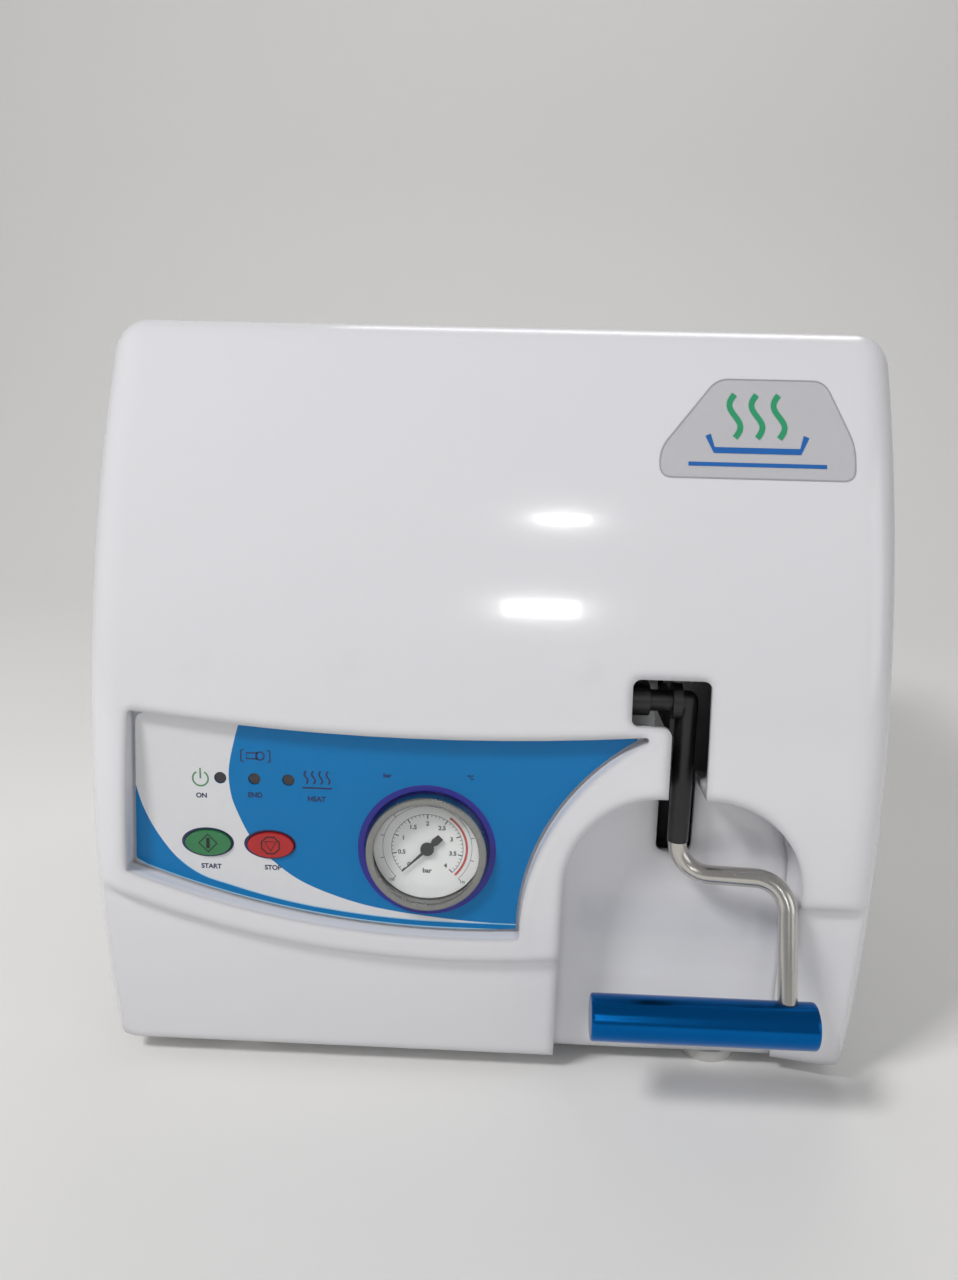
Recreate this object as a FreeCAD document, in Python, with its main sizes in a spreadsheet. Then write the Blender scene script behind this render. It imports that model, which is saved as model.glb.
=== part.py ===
# Tabletop steam steriliser: front door with lever lock, horizontal chamber, white moulded housing.
# Origin on the table under the middle of the machine. X to the right, Y to the back, Z up. Millimetres.
import FreeCAD, Part
import math
import os
import re
from types import SimpleNamespace
from FreeCAD import Vector, Rotation, Placement

doc = FreeCAD.newDocument("SteamSteriliser")
sheet = doc.addObject("Spreadsheet::Sheet", "Sizes")

SIZES = {
    # housing
    "shell_width": 335, "shell_top": 330, "shell_bottom": 9, "shell_wall": 3,
    "belly_depth": 190, "back_depth": 190, "seam_depth": 100, "seam_gap": 1,
    "face_radius": 430, "belly_height": 115, "side_round": 15, "top_round": 18, "bottom_round": 12,
    "tuck_step": 3.5, "return_lip": 16,
    # crease line across the front
    "crease_side_height": 95, "crease_low_height": 65, "crease_mid_x": 100, "crease_mid_height": 72.5,
    # control panel recess
    "panel_setback": 9.5, "panel_left": 149, "panel_top_left": 169, "panel_top_mid": 161.5,
    "panel_bottom_left": 101, "panel_bottom_mid": 76, "panel_bottom_right_x": 16, "panel_low_mid": 79,
    "panel_right_mid_x": 26, "panel_right_mid_height": 122,
    "panel_tip_x": 66, "panel_tip_height": 165, "panel_thickness": 1, "panel_margin": 1.5,
    "panel_corner": 4.5, "panel_tip_round": 0.8,
    # handle niche
    "niche_setback": 26, "niche_left": 35, "niche_right": 134.5, "niche_top": 141, "niche_round": 40,
    "niche_flare_x": 155, "niche_flare_height": 40, "flare_edge_setback": 10,
    # lever slot
    "slot_left": 76.5, "slot_right": 92, "slot_top": 190, "slot_bottom": 107, "notch_left": 60,
    "notch_bottom": 170.5, "slot_round": 3.5,
    # lever
    "lever_setback": 16, "lever_height": 179, "shaft_radius": 4.5, "arm_x": 84, 
    "arm_length": 62, "rod_radius": 4, "rod_run_height": 102, "rod_run_rise": 5.5, "rod_drop_x": 128, "rod_bend": 13,
    "rod_run_setback": 8, "spigot_radius": 2.8, "spigot_length": 14,
    "grip_radius": 9.5, "grip_length": 92, "grip_end": 11.5, "grip_stand_out": 18, "grip_height": 52.5,
    "shaft_left_end": -44, "cam_radius": 6.5, "cam_offset": 1.2, "cam_width": 12, "cam_gap": 0.4,
    "claw_x": 79.3, "claw_reach": 46, "claw_thickness": 4, "claw_height": 12, "claw_notch": 4.8,
    "claw_tooth": 5, "claw_eye": 7.5, "striker_radius": 3, "claw_clearance": 0.6, "notch_gap": 1.4,
    "striker_plate": 4,
    # chamber
    "chamber_x": -12, "chamber_height": 179, "chamber_radius": 75, "chamber_wall": 3,
    "chamber_length": 272, "flange_radius": 87, "flange_thickness": 10, "flange_depth": 116,
    "cradle_width": 220, "blanket_thickness": 18, "heater_width": 60, "heater_thickness": 3,
    # lid
    "lid_radius": 84, "lid_thickness": 12, "lid_gap": 2, "gasket_width": 7, "gasket_groove": 4,
    "gasket_squeeze_gap": 0.3, "stud_radius": 7, "stud_head_radius": 11, "stud_head": 3,
    # bridge and hinge
    "bridge_depth": 156, "bridge_thickness": 8, "bridge_height": 46, "bridge_right": 74,
    "bridge_leg": 4, "hinge_height": 100, "hinge_base": 125, "leaf_thickness": 1.5, "leaf_width": 24,
    "barrel_radius": 2.5, "hinge_pin_radius": 1.25, "knuckle_gap": 0.3, "barrel_clearance": 0.2,
    "knuckle_count": 5,
    "block_width": 14, "block_height": 16, "bush_wall": 1.5, "running_gap": 0.05, "contact_gap": 0.3,
    # gauge
    "gauge_x": -23, "gauge_height": 111, "gauge_radius": 25, "bezel_radius": 27, "bezel_lip": 22.5,
    "gauge_depth": 24, "bezel_proud": 5, "gauge_stem": 5, "dial_radius": 23.5, "glass": 1.5,
    "needle_length": 15, "needle_tail": 8, "needle_hub": 2.9,
    # buttons and lamps
    "button_width": 19.8, "button_tall": 11.3, "start_x": -117, "stop_x": -90, "button_height": 111,
    "button_travel": 0.8, "rocker_tilt": 9, "rocker_hub": 3.6, "button_proud": 1.2, "lamp_radius": 2.5,
    "lamp_height": 140.5,
    "lamp_on_x": -111, "lamp_end_x": -96.5, "lamp_heat_x": -82, "board_gap": 9, "board_thickness": 1.6,
    "board_left": -135, "board_width": 68, "pillar_inset": 4,
    # base and frame
    "base_thickness": 2, "base_inset": 8.5, "base_front": 161, "foot_radius": 14, "foot_height": 6.5,
    "foot_x": 109, "foot_front": 148, "foot_back": 150, "sheet_thickness": 2, "frame_inset": 17.5,
    "frame_top": 316, "rear_inset": 1,
    # inside the chamber
    "rack_width": 116, "rack_height": 84, "rack_length": 262, "tray_thickness": 1,
    "tray_width": 106, "tray_length": 250, "tray_depth": 12, "tray_pitch": 26, "tray_count": 3,
    # services
    "pipe_radius": 4, "port_length": 14, "exhaust_drop": 50, "safety_side": 48, "safety_rise": 40,
    "pipe_bend": 9, "valve_body": 24, "drain_reach": 27.5, "service_height": 59, "coil_radius": 15,
    "inlet_x": 112, "inlet_height": 45, "switch_x": 52,
    "fuse_x": 76, "drain_x": -70, "screw_radius": 2,
    "screw_head_radius": 3.5, "screw_head": 2,
}
for row, (alias, number) in enumerate(SIZES.items(), 1):
    sheet.set(f"A{row}", alias.replace("_", " "))
    sheet.set(f"B{row}", str(number))
    sheet.setAlias(f"B{row}", alias)
doc.recompute()
v = SimpleNamespace(**{alias: float(sheet.get(alias)) for alias in SIZES})


def cells(text):
    """The expression text with every size's alias pointed at its cell."""
    return re.sub(r"[a-z][a-z_]+", lambda m: f"Sizes.{m[0]}" if m[0] in SIZES else m[0], str(text))


def bind(item, **values):
    for name, text in values.items():
        item.setExpression(name.replace("__", "."), cells(text))
    return item


def place(item, x=0, y=0, z=0):
    for letter, text in zip("xyz", (x, y, z)):
        item.setExpression(f"Placement.Base.{letter}", cells(text))
    return item


TURNS = {
    "+Z": Rotation(),
    "-Z": Rotation(Vector(1, 0, 0), 180),
    "+X": Rotation(Vector(0, 1, 0), 90),
    "-X": Rotation(Vector(0, 1, 0), -90),
    "+Y": Rotation(Vector(1, 0, 0), -90),
    "-Y": Rotation(Vector(1, 0, 0), 90),
}


def box(name, x, y, z, size_x, size_y, size_z):
    item = doc.addObject("Part::Box", name)
    bind(item, Length=size_x, Width=size_y, Height=size_z)
    return place(item, x, y, z)


def rod(name, radius, length, x, y, z, way="+Z"):
    item = doc.addObject("Part::Cylinder", name)
    item.Placement = Placement(Vector(), TURNS[way])
    bind(item, Radius=radius, Height=length)
    return place(item, x, y, z)


def cone(name, radius1, radius2, length, x, y, z, way="+Z"):
    item = doc.addObject("Part::Cone", name)
    item.Placement = Placement(Vector(), TURNS[way])
    bind(item, Radius1=radius1, Radius2=radius2, Height=length)
    return place(item, x, y, z)


def cut(name, base, *tools):
    """Base less each tool, one after the other."""
    for count, tool in enumerate(tools, 1):
        item = doc.addObject("Part::Cut", name if count == len(tools) else f"{name}_step{count}")
        item.Base = base
        item.Tool = tool
        base = item
    return base


def fuse(name, *parts):
    item = doc.addObject("Part::MultiFuse", name)
    item.Shapes = list(parts)
    return item


def common(name, *parts):
    item = doc.addObject("Part::MultiCommon", name)
    item.Shapes = list(parts)
    return item


def group(name, *parts):
    item = doc.addObject("Part::Compound", name)
    item.Links = list(parts)
    return item


def tube(name, outer, inner, length, x, y, z, way="+Z"):
    return cut(name, rod(f"{name}_outer", outer, length, x, y, z, way),
               rod(f"{name}_bore", inner, length, x, y, z, way))


def shaped(name, shape):
    item = doc.addObject("Part::Feature", name)
    item.Shape = shape
    return item


def rounded_wire(corners, y=0.0):
    """Closed front-view outline at depth y; each corner is (x, z) or (x, z, radius)."""
    points = [Vector(c[0], y, c[1]) for c in corners]
    radii = [c[2] if len(c) > 2 else 0 for c in corners]
    starts, ends, mids = [], [], []
    for i, point in enumerate(points):
        before = (points[i - 1] - point).normalize()
        after = (points[(i + 1) % len(points)] - point).normalize()
        half = before.getAngle(after) / 2
        reach = radii[i] / math.tan(half)
        middle = (before + after).normalize() * (radii[i] / math.sin(half) - radii[i])
        starts.append(point + before * reach)
        ends.append(point + after * reach)
        mids.append(point + middle)
    edges = []
    for i in range(len(points)):
        if radii[i]:
            edges.append(Part.Arc(starts[i], mids[i], ends[i]).toShape())
        following = starts[(i + 1) % len(points)]
        if ends[i].distanceToPoint(following) > 1e-6:
            edges.append(Part.LineSegment(ends[i], following).toShape())
    return Part.Wire(edges)


def prism(wire, depth):
    return Part.Face(wire).extrude(Vector(0, depth, 0))


def sweep_round(points, radius, bend):
    """Round bar along straight runs joined by tangent arcs of radius bend."""
    path = [Vector(*p) for p in points]
    edges = []
    at = path[0]
    for before, corner, after in zip(path, path[1:], path[2:]):
        back = (before - corner).normalize()
        on = (after - corner).normalize()
        half = back.getAngle(on) / 2
        reach = bend / math.tan(half)
        middle = corner + (back + on).normalize() * (bend / math.sin(half) - bend)
        start, end = corner + back * reach, corner + on * reach
        edges.append(Part.LineSegment(at, start).toShape())
        edges.append(Part.Arc(start, middle, end).toShape())
        at = end
    edges.append(Part.LineSegment(at, path[-1]).toShape())
    wire = Part.Wire(edges)
    circle = Part.Wire(Part.Circle(path[0], path[1] - path[0], radius).toShape())
    return wire.makePipeShell([circle], True, False)


parts = []


def keep(item, label):
    item.Label = label
    parts.append(item)
    return item


# Front cover: moulded shell with a barrel-curved face, hollow behind, open at the back
def on_curve(point, radius):
    axis_y = v.face_radius - v.belly_depth
    return abs(math.hypot(point.y - axis_y, point.z - v.belly_height) - radius) < 0.01


def middle_of(edge):
    return edge.valueAt((edge.FirstParameter + edge.LastParameter) / 2)


def shell_rounds(inset):
    """Radius for each outer edge of the cover's block, or 0 where the edge stays."""
    side, top, bottom = v.shell_width / 2 - inset, v.shell_top - inset, v.shell_bottom + inset
    radius = v.face_radius - inset

    def pick(edge):
        point = middle_of(edge)
        curved = on_curve(point, radius)
        at_side = abs(abs(point.x) - side) < 0.01
        at_top = abs(point.z - top) < 0.01
        at_bottom = abs(point.z - bottom) < 0.01
        if at_top and curved:
            return v.top_round - inset
        if at_side and (curved or at_top):
            return v.side_round - inset
        if at_bottom and at_side:
            return v.bottom_round - inset
        return 0
    return pick


def rounded_by(name, base, radius_of):
    doc.recompute()
    item = doc.addObject("Part::Fillet", name)
    item.Base = base
    chosen = [(i + 1, radius_of(edge)) for i, edge in enumerate(base.Shape.Edges)]
    item.Edges = [(i, radius, radius) for i, radius in chosen if radius]
    return item


def curve_bar(name, inset):
    return rod(name, f"face_radius - {inset}", "shell_width + 20", "-shell_width / 2 - 10",
               "face_radius - belly_depth", "belly_height", "+X")


def cover_block(name, inset, back):
    """The cover's outer block, or with an inset the hollow inside it."""
    block = box(f"{name}_block", f"-shell_width / 2 + {inset}", "-belly_depth",
                f"shell_bottom + {inset}",
                f"shell_width - 2 * {inset}", f"belly_depth - {back}",
                f"shell_top - shell_bottom - 2 * {inset}")
    return common(f"{name}_barrel", block, curve_bar(f"{name}_curve", inset))


def panel_wire(y, margin=0.0, soft=True):
    """Outline of the control panel: three long arcs and a straight left edge; soft rounds its corners."""
    top_left = Vector(-v.panel_left + 3, y, v.panel_top_left)
    tip = Vector(v.panel_tip_x, y, v.panel_tip_height)
    bottom_right = Vector(v.panel_bottom_right_x, y, v.panel_bottom_mid)
    bottom_left = Vector(-v.panel_left, y, v.panel_bottom_left)
    top_mid = Vector((top_left.x + tip.x) / 2, y, v.panel_top_mid)
    right_mid = Vector(v.panel_right_mid_x, y, v.panel_right_mid_height)
    low_mid = Vector((bottom_left.x + bottom_right.x) / 2, y, v.panel_low_mid)
    wire = Part.Wire([
        Part.Arc(top_left, top_mid, tip).toShape(),
        Part.Arc(tip, right_mid, bottom_right).toShape(),
        Part.Arc(bottom_right, low_mid, bottom_left).toShape(),
        Part.LineSegment(bottom_left, top_left).toShape(),
    ])
    if not soft:
        return wire.makeOffset2D(margin)
    block = Part.Face(wire).extrude(Vector(0, 1, 0))
    for radius, side in ((v.panel_corner, -1), (v.panel_tip_round, 1)):
        upright = [e for e in block.Edges if e.Length < 1.01 and e.Vertexes[0].X * side > 0]
        block = block.makeFillet(radius, upright)
    outline = next(face.OuterWire for face in block.Faces if abs(face.CenterOfMass.y - y) < 0.001)
    return outline.makeOffset2D(margin) if margin else outline


def niche_corners(margin):
    left, right, top = v.niche_left - margin, v.niche_right + margin, v.niche_top + margin
    turn = v.niche_round + margin
    return [(left, -5), (left, top, turn), (right, top, turn), (right, -5)]


def flare(margin):
    """Tetrahedron that slopes the niche's right wall out towards the lower right corner."""
    shift = Vector(margin, margin, margin)
    wall_y = -v.belly_depth + v.niche_setback
    apex = Vector(v.niche_right, -v.belly_depth - 2, v.crease_side_height) + shift
    edge = Vector(v.niche_flare_x, -v.belly_depth + v.flare_edge_setback, v.niche_flare_height) + shift
    foot = Vector(v.niche_right - 1, wall_y, 0) + shift
    normal = (edge - apex).cross(foot - apex)
    along = normal.cross(Vector(0, 0, 1)).normalize()
    if along.y > 0:
        along = -along
    far = foot + along * 70
    front = Vector(foot.x, far.y, foot.z)
    corners = [apex, foot, far, front]
    faces = [Part.Face(Part.makePolygon([corners[i], corners[j], corners[k], corners[i]]))
             for i, j, k in ((0, 1, 2), (0, 2, 3), (0, 3, 1), (1, 2, 3))]
    return Part.Solid(Part.Shell(faces))


def niche_shape(margin):
    corners = niche_corners(margin)
    start = -v.belly_depth - 20
    depth = 20 + v.niche_setback + margin
    straight = prism(rounded_wire(corners, start), depth)
    return straight.fuse(flare(margin))


def tuck_region(margin):
    """Everything under the crease line, seen from the front."""
    y = -v.belly_depth - 20
    side = v.shell_width / 2 + 20
    high = v.crease_side_height + margin
    low = v.crease_low_height + margin
    left = Vector(-v.shell_width / 2, y, high)
    mid = Vector(-v.crease_mid_x, y, v.crease_mid_height + margin)
    right = Vector(v.niche_left, y, low)
    corners = [right, Vector(v.niche_left + 30, y, low), Vector(v.niche_left + 30, y, high),
               Vector(side, y, high), Vector(side, y, -20), Vector(-side, y, -20),
               Vector(-side, y, high), left]
    edges = [Part.Arc(left, mid, right).toShape()]
    edges += [Part.LineSegment(a, b).toShape() for a, b in zip(corners, corners[1:])]
    return prism(Part.Wire(edges), 20 + 60)


def slot_shape():
    round_ = v.slot_round
    corners = [
        (v.slot_left, v.slot_bottom, round_), (v.slot_left, v.notch_bottom, round_),
        (v.notch_left, v.notch_bottom, round_), (v.notch_left, v.slot_top, round_),
        (v.slot_right, v.slot_top, round_), (v.slot_right, v.slot_bottom, round_),
    ]
    return prism(rounded_wire(corners, -v.belly_depth - 5), 45)


outer = rounded_by("cover_outer", cover_block("cover_outer", 0, "seam_depth - seam_gap / 2"),
                   shell_rounds(0))
tuck = cut("tuck", shaped("tuck_region", tuck_region(0)), curve_bar("tuck_curve", "tuck_step"))
recess = shaped("recess", prism(panel_wire(-v.belly_depth - 20, v.panel_margin, False),
                                20 + v.panel_setback))
niche = shaped("niche", niche_shape(0))
slot = shaped("slot", slot_shape())
hollow_block = rounded_by("hollow_round", cover_block("hollow", "shell_wall", 60),
                          shell_rounds(v.shell_wall))
wall = v.shell_wall
tuck_inside = cut("tuck_inside", shaped("tuck_region_inside", tuck_region(wall)),
                  curve_bar("tuck_curve_inside", "(tuck_step + shell_wall)"))
recess_inside = shaped("recess_inside", prism(panel_wire(-v.belly_depth - 20, v.panel_margin + wall, False),
                                              20 + v.panel_setback + wall))
niche_inside = shaped("niche_inside", niche_shape(wall))
hollow = cut("hollow", hollow_block, recess_inside, niche_inside, tuck_inside)
floor_opening = box("floor_opening", "-shell_width / 2 + return_lip", "-base_front + 4", 0,
                    "shell_width - 2 * return_lip", "base_front", "shell_bottom + 10")
cover_face = cut("cover_face", outer, tuck, recess, niche)

# Places shared by several pieces
PANEL_Y = "(panel_setback - belly_depth)"
LEVER_Y = "(lever_setback - belly_depth)"
FLANGE_Y = "(-flange_depth)"
LID_BACK = "(-flange_depth - lid_gap)"
LID_FRONT = "(-flange_depth - lid_gap - lid_thickness)"
HINGE_X = "(-shell_width / 2 - barrel_radius - barrel_clearance)"
CHAMBER_END = "(chamber_length - flange_depth)"
BASE_TOP = "(foot_height + base_thickness)"
lever_y = v.lever_setback - v.belly_depth

# Lamp, button and gauge openings through the cover and the panel
def button_block(name, x, margin, y, depth):
    """Elliptical prism for a button or its opening."""
    width = v.button_width / 2 + margin
    tall = v.button_tall / 2 + margin
    ellipse = Part.Ellipse(Vector(0, 0, 0), width, tall).toShape()
    face = Part.Face(Part.Wire(ellipse))
    face.rotate(Vector(), Vector(1, 0, 0), 90)
    face.translate(Vector(x, y, v.button_height))
    return shaped(name, face.extrude(Vector(0, depth, 0)))


panel_y = v.panel_setback - v.belly_depth
openings = [
    button_block("start_opening", v.start_x, 0.4, panel_y - 5, 20),
    button_block("stop_opening", v.stop_x, 0.4, panel_y - 5, 20),
    rod("gauge_opening", "gauge_radius + contact_gap", 30, "gauge_x", f"{PANEL_Y} - 5", "gauge_height",
        "+Y"),
]
for lamp in ("on", "end", "heat"):
    openings.append(rod(f"lamp_{lamp}_opening", "lamp_radius + 0.1", 20, f"lamp_{lamp}_x",
                        f"{PANEL_Y} - 5", "lamp_height", "+Y"))
front_openings = fuse("front_openings", *openings)
hinge_screws_x = "-shell_width / 2 - leaf_thickness - 1"
cover_screw_holes = []
for k in range(3):
    z = f"hinge_base + hinge_height * ({k} + 0.5) / 3"
    cover_screw_holes.append(rod(f"cover_screw_hole{k}", "screw_radius + 0.1", 20, hinge_screws_x,
                                 "-seam_depth - leaf_width * 0.6", z, "+X"))
cover_holes = fuse("cover_holes", *cover_screw_holes)
cover_shell = cut("cover_shell", cover_face, slot, hollow, floor_opening, front_openings, cover_holes)
pillar_places = [(x, z) for x in ("board_left + pillar_inset", "board_left + board_width - pillar_inset")
                 for z in ("button_height - 12", "lamp_height + 8")]
bosses, boss_bores = [], []
for k, (x, z) in enumerate(pillar_places):
    bosses.append(rod(f"board_boss{k}", 3.2, "board_gap + 0.5", x, f"{PANEL_Y} + shell_wall - 0.5", z,
                      "+Y"))
    boss_bores.append(rod(f"board_boss_bore{k}", 1.3, "board_gap + 1", x,
                          f"{PANEL_Y} + shell_wall + 0.5", z, "+Y"))
for k, x in enumerate((-120, -60, 40)):
    bosses.append(rod(f"bridge_boss{k}", 5, "belly_depth - 8.5 - bridge_depth - contact_gap", x,
                      "8.5 - belly_depth",
                      "lever_height + 14", "+Y"))
keep(cut("cover", fuse("cover_bosses", cover_shell, *bosses), *boss_bores), "front_cover")

# Printed overlay on the recess floor
overlay = shaped("overlay", prism(panel_wire(panel_y - v.panel_thickness), v.panel_thickness))
keep(cut("overlay_cut", overlay, front_openings), "panel_overlay")

# Buttons that travel in the panel, on tactile switches of the control board
BOARD_Y = f"{PANEL_Y} + shell_wall + board_gap"
for name, x in (("start", "start_x"), ("stop", "stop_x")):
    proud = v.panel_thickness + v.button_proud
    cap = button_block(f"{name}_cap", getattr(v, x), 0, panel_y - proud,
                       proud + v.shell_wall + 1)
    stem = rod(f"{name}_stem", 2, "board_gap - 1 - button_travel - 3.5", x,
               f"{PANEL_Y} + shell_wall + 1",
               "button_height", "+Y")
    keep(fuse(f"{name}_button_solid", cap, stem), f"{name}_button")

# Control board with its tactile switches, screws and lamps
board = box("board_plate", "board_left", BOARD_Y, "button_height - 16", "board_width", "board_thickness",
            "lamp_height - button_height + 28")
tact = [box(f"tact_{name}", f"{x} - 3", f"{BOARD_Y} - 3.2", "button_height - 3", 6, 3.2, 6)
        for name, x in (("start", "start_x"), ("stop", "stop_x"))]
pillar_holes = [rod(f"board_hole{k}", 1.6, 6, x, f"{BOARD_Y} - 2", z, "+Y")
                for k, (x, z) in enumerate(pillar_places)]
keep(cut("board_cut", fuse("board_all", board, *tact), *pillar_holes), "control_board")
board_screws = []
for k, (x, z) in enumerate(pillar_places):
    head = rod(f"board_screw_head{k}", 2.6, 1.6, x, f"{BOARD_Y} + board_thickness", z, "+Y")
    shank = rod(f"board_screw_shank{k}", 1.25, 6, x, f"{BOARD_Y} + board_thickness - 6", z, "+Y")
    board_screws.append(fuse(f"board_screw{k}", head, shank))
keep(group("board_screws_all", *board_screws), "board_screws")
lamps = []
for lamp in ("on", "end", "heat"):
    body = rod(f"lamp_{lamp}_body", "lamp_radius", "board_gap + shell_wall + 0.5", f"lamp_{lamp}_x",
               f"{PANEL_Y} - 0.5", "lamp_height", "+Y")
    lamps.append(body)
keep(group("lamps_all", *lamps), "indicator_lamps")

# Pressure gauge: case with stem through the lid, bezel, dial, glass and needle
GAUGE = ("gauge_x", "gauge_height")
case_front = f"{PANEL_Y} - panel_thickness - bezel_proud + 3"
case = rod("case_outer", "gauge_radius", "gauge_depth", GAUGE[0], case_front, GAUGE[1], "+Y")
case_hole = rod("case_hole", "gauge_radius - 1", "gauge_depth - 2", GAUGE[0], f"{case_front} - 1",
                GAUGE[1], "+Y")
stem = rod("gauge_stem_rod", "gauge_stem", f"{LID_BACK} - ({case_front}) - gauge_depth + 1", GAUGE[0],
           f"{case_front} + gauge_depth - 0.5", GAUGE[1], "+Y")
keep(fuse("case_all", cut("case_shell", case, case_hole), stem), "gauge_case")
bezel_y = f"{PANEL_Y} - panel_thickness - bezel_proud"
bezel_outer = cone("bezel_cone", "bezel_radius - 1.5", "bezel_radius", "bezel_proud", GAUGE[0], bezel_y,
                   GAUGE[1], "+Y")
bezel_seat = rod("bezel_seat", "gauge_radius", "bezel_proud", GAUGE[0], f"{bezel_y} + 1.5", GAUGE[1],
                 "+Y")
bezel_hole = rod("bezel_hole", "bezel_lip", "bezel_proud + 4", GAUGE[0], f"{bezel_y} - 2", GAUGE[1],
                 "+Y")
keep(cut("bezel_cut", bezel_outer, bezel_seat, bezel_hole), "gauge_bezel")
keep(rod("lens_disc", "gauge_radius", "glass", GAUGE[0], f"{bezel_y} + 1.5", GAUGE[1], "+Y"),
     "gauge_lens")
dial_y = f"{case_front} + 5"
dial_plate = rod("dial_plate", "dial_radius", 0.8, GAUGE[0], dial_y, GAUGE[1], "+Y")
dial_post = rod("dial_post", 4, "gauge_depth - 2 - 5 - 0.8 - 1", GAUGE[0], f"{dial_y} + 0.8", GAUGE[1],
                "+Y")
dial_bore = rod("dial_bore", "1 + running_gap", 40, GAUGE[0], f"{dial_y} - 1", GAUGE[1], "+Y")
keep(cut("dial_cut", fuse("dial_all", dial_plate, dial_post), dial_bore), "gauge_dial")
needle_y = f"{dial_y} - 1.6"
blade = box("needle_blade", "-needle_length", 0, -0.6, "needle_length + needle_tail", 0.6, 1.2)
hub = rod("needle_hub_disc", "needle_hub", 1, 0, -0.2, 0, "+Y")
spindle = rod("needle_spindle", 1, 8, 0, 0, 0, "+Y")
pointer = fuse("needle_flat", blade, hub, spindle)
needle = doc.addObject("Part::Compound", "needle_placed")
needle.Links = [pointer]
needle.Placement = Placement(Vector(), Rotation(Vector(0, 1, 0), -45))
place(needle, GAUGE[0], needle_y, GAUGE[1])
keep(needle, "gauge_needle")

# Lever: black shaft with its elbow and arm, stainless rod, blue grip, cam and claw
arm_end = Vector(v.arm_x, lever_y, v.lever_height - v.arm_length)
shaft = rod("shaft_bar", "shaft_radius", "arm_x - shaft_left_end", "shaft_left_end", LEVER_Y,
            "lever_height", "+X")
arm_bar = rod("arm_bar", "shaft_radius", "arm_length", "arm_x", LEVER_Y, "lever_height", "-Z")
elbow = doc.addObject("Part::Sphere", "elbow")
bind(elbow, Radius="shaft_radius")
place(elbow, "arm_x", LEVER_Y, "lever_height")
spigot_hole = rod("spigot_hole", "spigot_radius + running_gap", "spigot_length + 2", "arm_x", LEVER_Y,
                  "lever_height - arm_length - 1")
keep(cut("lever_shaft_solid", fuse("lever_shaft_all", shaft, arm_bar, elbow), spigot_hole),
     "lever_shaft")
grip_y = -v.belly_depth - v.grip_stand_out
run_y = -v.belly_depth + v.rod_run_setback
rod_path = [arm_end, Vector(v.arm_x, lever_y, v.rod_run_height),
            Vector(v.rod_drop_x, run_y - 7, v.rod_run_height + v.rod_run_rise),
            Vector(v.rod_drop_x, grip_y, v.grip_height)]
drop_way = (rod_path[-1] - rod_path[-2]).normalize()
rod_path[-1] = rod_path[-1] - drop_way * (v.grip_radius - 6)
bent = sweep_round(rod_path, v.rod_radius, v.rod_bend)
spigot = Part.makeCylinder(v.spigot_radius, v.spigot_length + 1, arm_end - Vector(0, 0, 1))
keep(shaped("lever_rod_solid", bent.fuse(spigot)), "lever_rod")
grip_bar = rod("grip_bar", "grip_radius", "grip_length", "rod_drop_x + grip_end - grip_length",
               "-belly_depth - grip_stand_out", "grip_height", "+X")
grip_round = rounded_by("grip_round", grip_bar,
                        lambda edge: 1.2 if edge.Curve.TypeId == "Part::GeomCircle" else 0)
rod_seat = shaped("rod_seat", Part.makeCylinder(v.rod_radius + v.running_gap, 40, rod_path[-1],
                                                drop_way * -1))
keep(cut("grip_cut", grip_round, rod_seat), "lever_grip")
cam_x = "chamber_x - cam_width / 2"
cam_disc = rod("cam_disc", "cam_radius", "cam_width", cam_x, f"{LEVER_Y} + cam_offset", "lever_height",
               "+X")
cam_bore = rod("cam_bore", "shaft_radius + running_gap", "cam_width + 2", f"{cam_x} - 1", LEVER_Y,
               "lever_height", "+X")
keep(cut("cam_cut", cam_disc, cam_bore), "pressure_cam")

# Latch claw on the shaft: a bar under the striker pin, with a notch that takes the pin when pulled home
STRIKER_Y = f"({LEVER_Y} + claw_reach)"
CLAW_TOP = "(lever_height - striker_radius - claw_clearance)"
CLAW_X = "claw_x - claw_thickness / 2"
claw_bar = box("claw_bar", CLAW_X, LEVER_Y, f"{CLAW_TOP} - claw_height", "claw_thickness",
               "claw_reach + striker_radius + notch_gap + claw_tooth", "claw_height")
claw_eye = rod("claw_eye_disc", "claw_eye", "claw_thickness", CLAW_X, LEVER_Y, "lever_height", "+X")
claw_bore = rod("claw_bore", "shaft_radius + running_gap", "claw_thickness + 2", f"{CLAW_X} - 1",
                LEVER_Y,
                "lever_height", "+X")
claw_notch = box("claw_notch_box", f"{CLAW_X} - 1", f"{STRIKER_Y} - striker_radius - notch_gap",
                 f"{CLAW_TOP} - claw_notch", "claw_thickness + 2", "2 * (striker_radius + notch_gap)",
                 20)
claw_groove = rod("claw_groove", "shaft_radius + running_gap", "arm_length", "arm_x", LEVER_Y,
                  "lever_height", "-Z")
claw_cup = doc.addObject("Part::Sphere", "claw_cup")
bind(claw_cup, Radius="shaft_radius + running_gap")
place(claw_cup, "arm_x", LEVER_Y, "lever_height")
keep(cut("claw_cut", fuse("claw_all", claw_bar, claw_eye), claw_bore, claw_notch, claw_groove, claw_cup),
     "latch_claw")

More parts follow.
